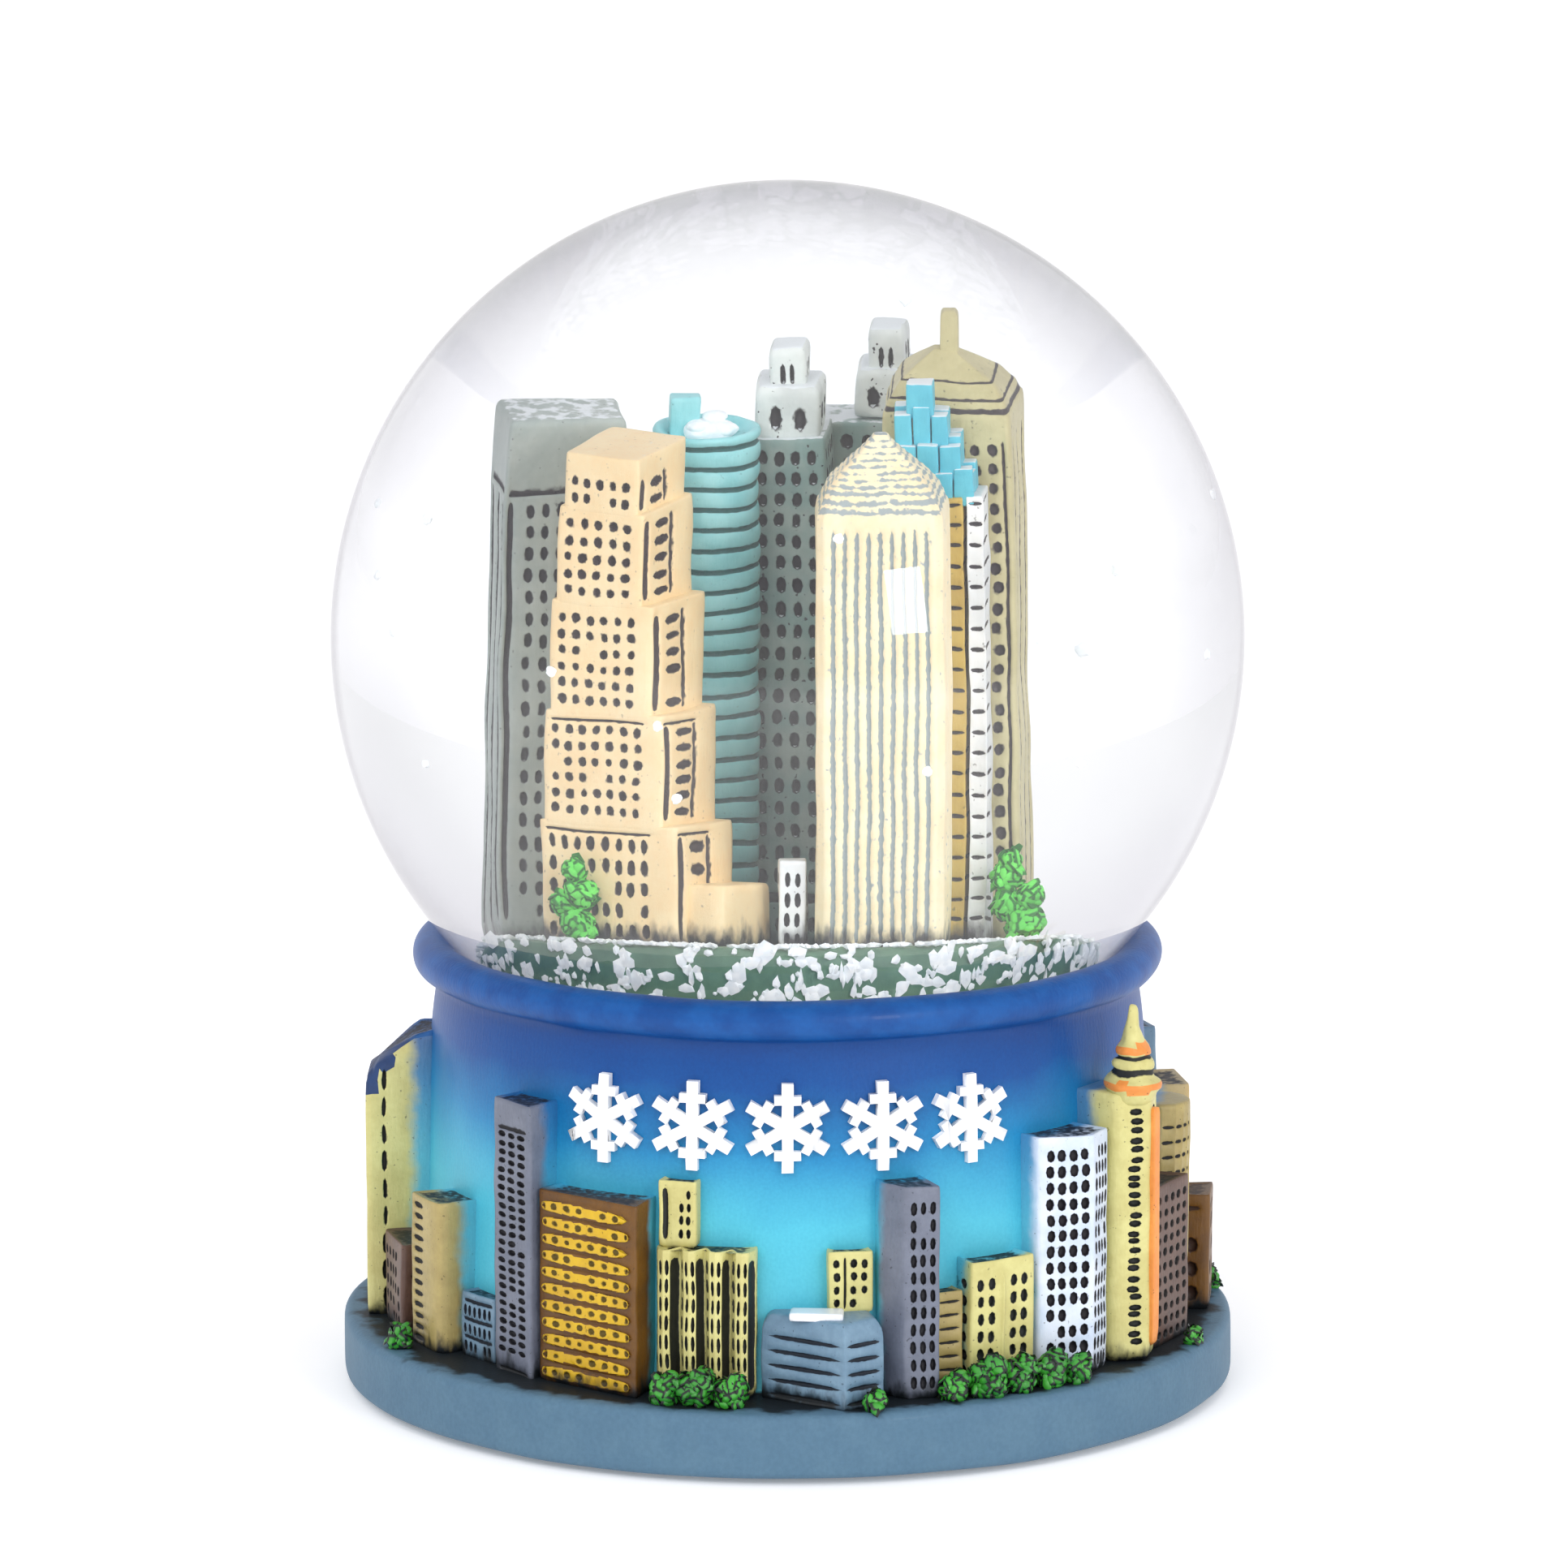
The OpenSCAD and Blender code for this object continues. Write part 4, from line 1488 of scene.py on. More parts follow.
# relief paints carry painted shade rising 2 mm from the ledge, and the drum's overspray near its wall
RELIEF = {"foot_mm": 2.0, "drift_mm": 1.5, "painted_shade": (18, 24, 28)}
CREAM = Paint("cream", (208, 202, 132), (186, 176, 108), wash=(22, 26, 24), **RELIEF)
KHAKI = Paint("khaki", (172, 154, 96), (150, 132, 80), wash=(24, 24, 24), **RELIEF)
SAND = Paint("sandstone", (190, 166, 116), (172, 146, 98), wash=(30, 26, 26), **RELIEF)
STONE = Paint("stone grey", (108, 114, 130), (90, 96, 112), wash=(18, 18, 26), **RELIEF)
SLATE = Paint("slate blue", (112, 142, 164), (84, 114, 138), wash=(14, 26, 40), **RELIEF)
BRICK = Paint("brick brown", (94, 68, 56), (76, 52, 44), wash=(20, 14, 14), **RELIEF)
AMBER = Paint("amber yellow", (212, 170, 8), (190, 146, 6), wash=(92, 74, 8), **RELIEF)
AMBER_FRAME = Paint("amber brown", (106, 68, 4), (80, 48, 6), wash=(52, 28, 16), **RELIEF)
GRID = Paint("grid white", (214, 224, 240), (180, 198, 222), wash=(24, 20, 28), **RELIEF)
SAGE = Paint("sage green", (112, 142, 116), (92, 122, 98), wash=(18, 26, 22), **RELIEF)
NEAR_CREAM = replace(CREAM, name="near cream", drift_mm=0.0)
NEAR_KHAKI = replace(KHAKI, name="near khaki", drift_mm=0.0)
NEAR_SLATE = replace(SLATE, name="near slate", drift_mm=0.0)
NAVY = Paint("navy", (22, 56, 104), (18, 44, 84), wash=(14, 20, 36), **RELIEF)
ORANGE = Paint("orange", (232, 146, 66), (214, 124, 50), wash=(40, 28, 20), **RELIEF)
BRIGHT_WHITE = Paint("bright white", (244, 246, 250), (232, 236, 244), specks=0.1, roughness=0.3,
                     coat=0.5)

FINE = Cut(open=0.68, depth=0.3)
BOLD = Cut(open=0.64, depth=0.36)
SLOTS = Cut(open=0.62, depth=0.3, line_depth=0.26)

FRONT_BUILDINGS = (
    Relief("west_tower", "cream", ((-92, 4), (-82.5, 4.2)), bays(0.6, 9, 2.6),
        (lines(4, Strip.GROOVE, 0.25, 0.7, 0.3),), (CREAM,), flank=bays(1.0, 1, 4.1),
        cut=Cut(open=0.45)),
    Relief("brown_block", "brick_brown", ((-80.5, 3), (-69.5, 3)), bays(0.7, 5, 0.7),
        (bays(0.4, 5, 0.4),), (BRICK,), flank=bays(0.6, 3, 1.2), cut=BOLD),
    Relief("fin_tower", "khaki", ((-67, 2.7), (-58, 2.7)), lines(13, Strip.GROOVE, 0.42, 0.34, 0.5),
        ((plain(0.2), ridge(1.4), plain(2.6)),), (KHAKI,), cut=Cut(line_depth=0.34)),
    Relief("low_wing", "slate_blue", ((-57, 1.2), (-48.5, 1.2)),
        (plain(0.5), *(windows(1), groove(0.25)) * 3, plain(0.5)),
        (bays(0.3, 6, 0.3),), (NEAR_SLATE,), flank=bays(0.3, 2, 0.8), cut=SLOTS),
    Relief("tall_slab", "stone_grey", ((-47.5, 1.6), (-38.6, 2.4)),
        (plain(0.3), groove(0.3), plain(1.0), windows(25), groove(0.25), plain(1.9)),
        (bays(0.5, 3, 0.45),), (STONE,), cut=Cut(open=0.72, depth=0.3)),
    Relief("amber_block", "amber", ((-38, 1.8), (-20.6, 3.4)), lines(11, Strip.RIDGE, 1.0, 0.1, 0.5),
        (bays(0.2, 1, 0.2),), (AMBER_FRAME, AMBER), cut=Cut(line_depth=0.2)),
    Relief("lobed_block", "cream", lobes(-19.6, -4.6, 0.7, 1.2, 4), bays(0.8, 7, 0.6),
        (*(bays(0.06, 1, 0.06),) * 3, (groove(1.0),)) * 4, (NEAR_CREAM,),
        flank=bays(0.3, 2, 0.8), cut=Cut(open=0.72, depth=0.3)),
    Relief("cream_turret", "cream", ((-19.3, 0.8), (-13.4, 0.8)), bays(0.7, 4, 0.5),
        ((plain(0.3), groove(0.4), plain(0.7), windows(2), plain(0.3)),), (NEAR_CREAM,), cut=BOLD,
        lift=10.4),
    Relief("terraced_hall", "slate_blue", ((-3.8, 0.9), (7.3, 4.7), (12.9, 3.3)),
        (plain(0.5), *(groove(0.36), plain(0.72)) * 5), (bays(0.1, 1, 0.1),) * 2, (NEAR_SLATE,),
        flank=bays(0.1, 1, 0.1), cut=Cut(line_depth=0.3), parapet=0.0, crown=((0.7, 0.86),)),
    Relief("cream_annex", "cream", ((6, 0.8), (12.6, 0.8)), bays(0.4, 4, 0.4),
        ((plain(0.2), windows(1), plain(0.1), groove(0.2), plain(0.1), windows(2), plain(0.3)),),
        (NEAR_CREAM,), cut=BOLD, lift=6.0),
    Relief("grey_tower", "stone_grey", ((13.5, 0.8), (16.1, 2.8), (20.9, 3.2)), bays(0.9, 11, 0.9),
        (PLAIN_WALL, bays(0.28, 3, 0.22)), (STONE,), cut=Cut(open=0.66, depth=0.34)),
    Relief("khaki_annex", "khaki", ((21.9, 1.2), (26.2, 1.2)), lines(7, Strip.GROOVE, 0.2, 0.8, 0.7),
        (bays(0.1, 1, 0.1),), (NEAR_KHAKI,), flank=bays(0.1, 1, 0.1)),
    Relief("cream_block", "cream", ((26.9, 1.8), (37.8, 1.8)), bays(0.8, 6, 1.1),
        ((plain(0.35), windows(2), plain(0.3), ridge(0.3), plain(0.3), windows(2), plain(0.5)),),
        (CREAM,),
        flank=bays(0.4, 2, 0.4), cut=BOLD, parapet=0.3),
    Relief("grid_tower", "grid_white", ((39, 1.4), (46.2, 3.2), (51, 2.5)), bays(0.6, 14, 0.8),
        (bays(0.5, 4, 0.2), bays(0.2, 4, 0.2)), (GRID,),
        cut=Cut(open=0.78, depth=0.36)),
    Relief("orange_spire", "cream", ((52, 2.8), (55.8, 4.4), (60, 3.6)), bays(1.4, 26, 1.0),
        (bays(0.9, 1, 0.5), (plain(0.5), windows(1), plain(0.4), groove(0.12), plain(0.3))),
        (CREAM, ORANGE), cut=Cut(open=0.8, depth=0.3, jitter=0.2), parapet=0.0, above=6.0),
    Relief("brick_tower", "brick_brown", ((61.8, 3.1), (72.8, 3.6)), bays(0.6, 11, 0.6),
        (bays(0.35, 5, 0.35),), (BRICK,), flank=bays(0.4, 3, 0.6), cut=BOLD),
    Relief("round_top_tower", "khaki", lobes(74, 84, 1.4, 1.6, 1, 8),
        (plain(9.5), *(groove(0.22), plain(0.8)) * 5, plain(0.6)),
        tuple(bays(0.02, 1, 0.02) for _ in range(8)), (KHAKI,), cut=Cut(line_depth=0.2),
        parapet=0.0),
    Relief("corner_shop", "amber", ((85.4, 4.2), (93, 4.6)),
        (plain(0.6), windows(4), groove(0.3), plain(0.9)),
        (bays(0.4, 3, 0.4),), (AMBER_FRAME,), flank=bays(0.4, 3, 0.6), cut=BOLD),
)

REAR_BUILDINGS = (
    Relief("rear_sand_tower", "sandstone", ((95, 3), (106, 3.2)), bays(0.9, 13, 1.2),
        (bays(0.4, 4, 0.4),), (SAND,), flank=bays(0.5, 2, 0.8), cut=FINE),
    Relief("rear_blue_slab", "slate_blue", ((108, 2.2), (119, 2.4)),
        (plain(0.8), windows(17), groove(0.25), plain(1.5)),
        (bays(0.4, 5, 0.4),), (SLATE,), cut=FINE),
    Relief("rear_brick_hall", "brick_brown", ((121, 3.8), (136, 3.8)),
        (plain(0.8), windows(5), groove(0.2), plain(0.8)),
        (bays(0.4, 8, 0.4),), (BRICK,), flank=bays(0.4, 3, 0.6), cut=BOLD),
    Relief("rear_white_tower", "grid_white", ((138, 2.6), (149, 2.8)), bays(0.7, 12, 0.9),
        (bays(0.4, 5, 0.4),), (GRID,), flank=bays(0.4, 2, 0.8), cut=BOLD),
    Relief("rear_stepped_tower", "sandstone", ((151, 3.6), (167, 3.6)), bays(0.7, 5, 0.8),
        (bays(0.5, 8, 0.5),), (SAND,), flank=bays(0.4, 3, 0.6), cut=FINE, above=6.4),
    Relief("rear_gold_block", "amber", ((169, 2.6), (181, 2.8)), lines(9, Strip.RIDGE, 1.0, 0.1, 0.5),
        (bays(0.2, 1, 0.2),), (AMBER_FRAME, AMBER), cut=Cut(line_depth=0.2)),
    Relief("rear_low_hall", "slate_blue", ((183, 3.8), (197, 3.8)),
        (plain(0.5), *(groove(0.36), plain(0.72)) * 4),
        (bays(0.1, 1, 0.1),), (SLATE,), flank=bays(0.1, 1, 0.1),
        cut=Cut(line_depth=0.3), crown=((0.6, 0.9),)),
    Relief("rear_grey_tower", "stone_grey", ((199, 2.4), (209, 2.6)), bays(0.8, 13, 1.0),
        (bays(0.4, 4, 0.4),), (STONE,), flank=bays(0.4, 2, 0.5), cut=BOLD),
    Relief("rear_round_tower", "cream", lobes(211, 222, 0.4, 2.6, 1, 8),
        (plain(1.0), *(groove(0.22), plain(0.85)) * 10, plain(0.4)),
        tuple(bays(0.02, 1, 0.02) for _ in range(8)), (CREAM,), cut=Cut(line_depth=0.2)),
    Relief("rear_green_tower", "sage_green", ((224, 2.4), (234, 2.8)), bays(0.9, 14, 1.3),
        (bays(0.4, 4, 0.4),), (SAGE,), flank=bays(0.4, 2, 0.6), cut=FINE),
    Relief("rear_cream_hall", "cream", ((236, 3.4), (248, 3.4)), bays(0.8, 5, 0.9),
        ((plain(0.4), windows(3), plain(0.2), ridge(0.3), plain(0.2), windows(3), plain(0.4)),),
        (CREAM,),
        flank=bays(0.4, 3, 0.5), cut=BOLD, parapet=0.3),
    Relief("rear_tan_tower", "khaki", ((250, 2.8), (259, 3)), lines(14, Strip.GROOVE, 0.36, 0.5, 0.6),
        (bays(0.2, 1, 1.0),), (KHAKI,), cut=Cut(line_depth=0.28)),
    Relief("rear_side_block", "brick_brown", ((260.5, 3.6), (267, 3.4)), bays(0.6, 8, 0.7),
        (bays(0.3, 3, 0.3),), (BRICK,), flank=bays(0.4, 3, 0.5), cut=BOLD),
)


@dataclass
class ReliefSkyline:
    """The painted buildings that stand on the ledge with their backs in the drum."""

    buildings: tuple[Relief, ...] = FRONT_BUILDINGS + REAR_BUILDINGS

    def build(self) -> None:
        """Makes each building and what is on it."""
        trims = {
            "west_tower": self._slope, "amber_block": self._gold_bands,
            "rear_gold_block": self._gold_bands,
            "terraced_hall": self._skylight, "orange_spire": self._crown,
            "rear_stepped_tower": self._upper_tiers,
            "rear_low_hall": self._skylight,
        }
        for number, relief in enumerate(self.buildings):
            clay = Clay(100 + number)
            top = box_mm(relief.node)[1].z - relief.above
            relief.block(top).build(clay)
            paints = list(relief.paints)
            if relief.node in trims:
                paints += trims[relief.node](clay, relief, top)
            clay.wobble(relief.wave, 2.6)
            settle(clay, f"{relief.node}_relief", paints, "globe", (relief.node,))

    def _slope(self, clay: Clay, relief: Relief, top: float) -> list[Paint]:
        """Cuts a sloping cap and paints it navy.

        Args:
            clay: the building's mesh.
            relief: the building.
            top: height of its main roof.

        Returns:
            The paints that this adds.
        """
        mesh = clay.mesh
        azimuth = (relief.front[0][0] + relief.front[1][0]) / 2
        outward = Vector((*polar(azimuth, 1), 0))
        edge = Vector((*polar(azimuth, BASE.foot_r + relief.front[0][1]), top - 2.9))
        normal = (Vector((0, 0, 1)) + outward * 0.78).normalized()
        parts = [*mesh.verts, *mesh.edges, *mesh.faces]
        made = bmesh.ops.bisect_plane(mesh, geom=parts, plane_co=edge, plane_no=normal,
                                      clear_outer=True, dist=TOUCH)
        rim = [g for g in made["geom_cut"] if isinstance(g, Edge)]
        bmesh.ops.contextual_create(mesh, geom=rim)
        for face in mesh.faces:
            if (face.calc_center_median() - edge).dot(normal) > -1.0:
                face.material_index = 1
        return [NAVY]

    def _gold_bands(self, clay: Clay, relief: Relief, top: float) -> list[Paint]:
        """Paints the raised bands gold and cuts a row of slots in each.

        Args:
            clay: the building's mesh.
            relief: the building.
            top: height of its main roof; not used here.

        Returns:
            The paints that this adds.
        """
        mesh = clay.mesh
        mesh.faces.ensure_lookup_table()
        start, end = (Vector((*polar(az, BASE.foot_r + out), 0)) for az, out in relief.front)
        along = (end - start).normalized()
        outward = Vector((along.y, -along.x, 0))
        width = (end - start).length
        bands = [
            f for f in mesh.faces
            if f.normal.dot(outward) > 0.98 and (f.calc_center_median() - start).dot(outward) > 0.1
        ]
        for face in bands:
            face.material_index = 1
        count = int(width / 1.05)
        for i in range(1, count):
            parts = list({g for f in bands if f.is_valid for g in (f, *f.edges, *f.verts)})
            cut_at = start + along * (width * i / count)
            made = bmesh.ops.bisect_plane(mesh, geom=parts, plane_co=cut_at, plane_no=along, dist=TOUCH)
            bands = [g for g in {*bands, *(g for g in made["geom"] if isinstance(g, Face))}
                     if g.is_valid]
        slots = Cut(open=0.42, depth=0.16, missing=0.12)
        for face in sorted(bands, key=lambda f: tuple(round(c, 3) for c in f.calc_center_median())):
            if face.normal.dot(outward) > 0.98 and face.calc_area() > 0.3:
                clay.window(face, slots)
        return []

    def _skylight(self, clay: Clay, relief: Relief, top: float) -> list[Paint]:
        """Lays a rounded white slab on the roof.

        Args:
            clay: the building's mesh.
            relief: the building.
            top: height of its main roof.

        Returns:
            The paints that this adds.
        """
        middle = (relief.front[0][0] + relief.front[-1][0]) / 2
        width = 3.7
        verts = Block(
            rectangle(-width / 2, width / 2, -1.0, 1.0), top - 0.2, top + 0.4, (plain(0.1), plain(0.6)),
            paint=1,
        ).build(clay)
        turned(verts, polar(middle - 0.5, BASE.foot_r + 1.9), middle - 8)
        return [BRIGHT_WHITE]

    def _crown(self, clay: Clay, relief: Relief, top: float) -> list[Paint]:
        """Adds the orange stripe and the ringed spire.

        Args:
            clay: the building's mesh.
            relief: the building.
            top: height of its main roof.

        Returns:
            The paints that this adds.
        """
        axis = polar(56, BASE.foot_r + 2.8)
        rings = (
            (0.0, -1.0, 0), (1.7, -1.0, 0), (1.75, 0.0, 0), (2.1, 0.15, 0), (2.15, 0.75, 0),
            (1.5, 0.95, 0),
            (1.3, 1.5, 1), (1.55, 1.75, 0), (1.45, 2.2, 0), (1.0, 2.4, 1), (1.35, 2.6, 0),
            (1.3, 3.2, 0), (0.85, 3.45, 0),
            (0.75, 4.3, 0), (0.5, 4.5, 0), (0.42, 5.6, 0), (0.2, 5.95, 0), (0.0, 6.0, 0),
        )
        profile = [(r, top + z) for r, z, _ in rings]
        made = clay.lathe(profile, axis, 14, [float(stain) for _, _, stain in rings])
        clay.wobble(0.38, 0.9, [v for v in made if v.co.z > top])
        orange = ((0.1, 0.8), (2.55, 3.25))
        for face in {f for v in made for f in v.link_faces}:
            height = face.calc_center_median().z - top
            face.material_index = int(any(low < height < high for low, high in orange))
        corner_az, corner_out = relief.front[1]
        stripe = Block(
            rectangle(-0.42, 0.42, -0.5, 0.5), BASE.plinth_top + 0.8, top - 1.2,
            (plain(0.2), plain(1), plain(0.2)),
            paint=1,
        ).build(clay)
        turned(stripe, polar(corner_az + 1.0, BASE.foot_r + corner_out - 0.28), corner_az + 2)
        return []

    def _upper_tiers(self, clay: Clay, relief: Relief, top: float) -> list[Paint]:
        """Adds the two upper tiers.

        Args:
            clay: the building's mesh.
            relief: the building.
            top: height of its main roof.

        Returns:
            The paints that this adds.
        """
        for front, low, high, count in (
            (((153.5, 2.6), (164.5, 2.6)), 0.0, 3.4, 6), (((156, 1.8), (162, 1.8)), 3.0, 6.4, 3),
        ):
            upper = Relief(relief.node, relief.slot, front, bays(0.2, 3, 0.5),
                           (bays(0.4, count, 0.4),), relief.paints, cut=FINE)
            shape = upper.block(top + high)
            shape.bottom = top + low - 0.2
            shape.build(clay)
        return []


# -------- greenery


@dataclass
class Greenery:
    """Bushes on the ledge and the two taller ones under the glass."""

    leaves_per_mm2: float = 3.4
    leaf: float = 0.5
    moulded: Paint = Paint("moulded leaves", (58, 158, 44), (24, 100, 34), wash=(6, 20, 16), ragged=0.3,
                           specks=0.0,
                           roughness=0.38, coat=0.35)
    flock: Paint = Paint("flocked leaves", (112, 236, 92), (76, 206, 70), wash=(30, 120, 40),
                         ragged=0.3, specks=0.0,
                         roughness=0.7, coat=0.0)

    front: tuple[tuple[float, float, float], ...] = (
        (-64, 4.2, 0.9), (-16.5, 3.4, 1.1), (-12.4, 3.2, 1.3), (-7.6, 3.3, 1.1), (11, 4.9, 0.7),
        (22.5, 3.7, 1.0),
        (27.5, 3.6, 1.4), (32.5, 3.5, 1.3), (37.5, 3.6, 1.2), (41.5, 4.1, 1.0), (67, 5, 0.6),
    )
    rear: tuple[tuple[float, float, float], ...] = (
        (98, 4.9, 0.7), (113.5, 3.8, 1.2), (143.5, 4.2, 1.1), (175, 4.2, 1.1), (204, 4, 1.2),
        (216.5, 4.2, 1.0),
        (229, 4.2, 1.1), (254.5, 4.6, 0.9),
    )
    left: tuple[tuple[float, float, float, float], ...] = (
        (0, 0, 1, 1.2), (-0.7, 0.5, 2.3, 0.9), (0.3, 0, 3, 1.1), (-0.1, 0.1, 4.4, 0.8),
    )
    right: tuple[tuple[float, float, float, float], ...] = (
        (0.4, 0, 1, 1.3), (-0.7, 0.2, 2.3, 1.0), (0.6, -0.1, 2.7, 0.9), (-0.8, 0.1, 3.9, 1.0),
        (-0.6, 0, 4.8, 0.7),
    )

    def _leaf(self, clay: Clay, root: Vector, outward: Vector, size: float) -> None:
        """Adds one thick leaf that stands out of a bush.

        Args:
            clay: what to add it to.
            root: where it grows from.
            outward: the way it faces.
            size: its radius.
        """
        made = bmesh.ops.create_cone(
            clay.mesh, cap_ends=True, segments=6, radius1=size, radius2=size * 0.45, depth=size * 0.5
        )["verts"]
        tilt = Vector([clay.draw.uniform(-0.7, 0.7) for _ in range(3)])
        turn = (outward + tilt).to_track_quat("Z", "Y").to_matrix()
        spin = Matrix.Rotation(clay.draw.uniform(0, math.tau), 3, "Z")
        long = clay.draw.uniform(1.0, 1.5)
        for vert in made:
            vert[clay.wash] = 0.75 if vert.co.z < 0 else 0.0
            point = Vector((vert.co.x * long, vert.co.y * 0.8, vert.co.z))
            vert.co = root + turn @ (spin @ point)

    def _ball(self, clay: Clay, centre: Vector, radius: float, ground: float, leaf: float) -> None:
        """Adds a ball of leaves round a dark core.

        Args:
            clay: what to add it to.
            centre: its centre.
            radius: its radius.
            ground: height below which no leaf grows.
            leaf: size of its leaves.
        """
        clay.lump(centre, Vector((1, 1, 1)) * radius * 0.72, 2, 0.12, 1.0)
        count = int(4 * math.pi * radius * radius * self.leaves_per_mm2 * (self.leaf / leaf) ** 2)
        for i in range(count):
            lift = 1 - 2 * (i + 0.5) / count
            turn = i * math.pi * (3 - math.sqrt(5))
            flat = math.sqrt(1 - lift * lift)
            outward = Vector((flat * math.cos(turn), flat * math.sin(turn), lift))
            root = centre + outward * radius * clay.draw.uniform(0.66, 0.86)
            if root.z > ground + 0.1:
                self._leaf(clay, root, outward, leaf * clay.draw.uniform(0.7, 1.15))

    def build(self) -> None:
        """Makes the four pieces of greenery."""
        ground = BASE.plinth_top
        for seed, node, places in ((301, "front_bushes", self.front), (302, "rear_bushes", self.rear)):
            clay = Clay(seed)
            for azimuth, out, radius in places:
                turn = Matrix.Rotation(math.radians(azimuth), 3, "Z")
                foot = Vector((*polar(azimuth, BASE.foot_r + out), ground))
                for x, z, share in ((0, 0.55, 1.0), (0.35, 1.25, 0.75), (-0.4, 1.1, 0.6)):
                    centre = foot + turn @ Vector((x * radius, 0, 0)) + Vector((0, 0, z * radius))
                    self._ball(clay, centre, radius * share * 1.1, ground, self.leaf)
            settle(clay, f"{node}_leaves", [self.moulded], "globe", (node,), levels=0,
                   crease=70)
        for seed, node, at, balls in (
            (303, "left_bush", (-12.3, -9.0), self.left), (304, "right_bush", (13.0, -4.6), self.right),
        ):
            clay = Clay(seed)
            for x, y, z, radius in balls:
                centre = Vector((at[0] + x, at[1] + y, MOUND_TOP + z))
                self._ball(clay, centre, radius, MOUND_TOP, 0.5)
            settle(clay, f"{node}_leaves", [self.flock], "globe", (node,), levels=0,
                   crease=70)


# -------- under the glass


# tower paints carry painted shade rising from the mound's top
INNER = {"ground_mm": MOUND_TOP, "foot_mm": 2.2, "painted_shade": (52, 50, 54)}
SLAB_GREY = Paint("slab grey", (172, 182, 176), (152, 166, 162), wash=(42, 38, 44), snow=0.3, **INNER)
PEACH = Paint("peach", (255, 228, 178), (250, 214, 158), wash=(54, 40, 42), ragged=0.7, specks=0.35,
              snow=0.12, **INNER)
TEAL = Paint("teal", (158, 226, 230), (118, 200, 206), wash=(24, 92, 92), specks=0.3, snow=0.1, **INNER)
TWIN_GREY = Paint("weathered grey", (158, 172, 164), (96, 140, 136), wash=(34, 30, 32), specks=0.9,
                  snow=0.4, **INNER)
CROWN_WHITE = Paint("crown white", (232, 238, 234), (190, 196, 194), wash=(44, 38, 44), ragged=0.8,
                    specks=1.0, snow=0.5, **INNER)
IVORY = Paint("ivory", (255, 240, 200), (250, 226, 178), wash=(166, 176, 176), ragged=1.7, specks=0.25,
              snow=0.2, **INNER)
OLIVE = Paint("olive khaki", (204, 194, 146), (182, 172, 124), wash=(60, 50, 52), ragged=0.7, snow=0.12,
              **INNER)
CUBE_TEAL = Paint("cube teal", (92, 196, 216), (66, 172, 196), wash=(26, 84, 100), specks=0.1, snow=0.7,
                  **INNER)
MUSTARD = Paint("mustard", (216, 184, 92), (190, 156, 70), wash=(48, 38, 36), **INNER)
PALE = Paint("pale white", (250, 252, 252), (226, 232, 236), wash=(50, 44, 50), snow=0.2, **INNER)


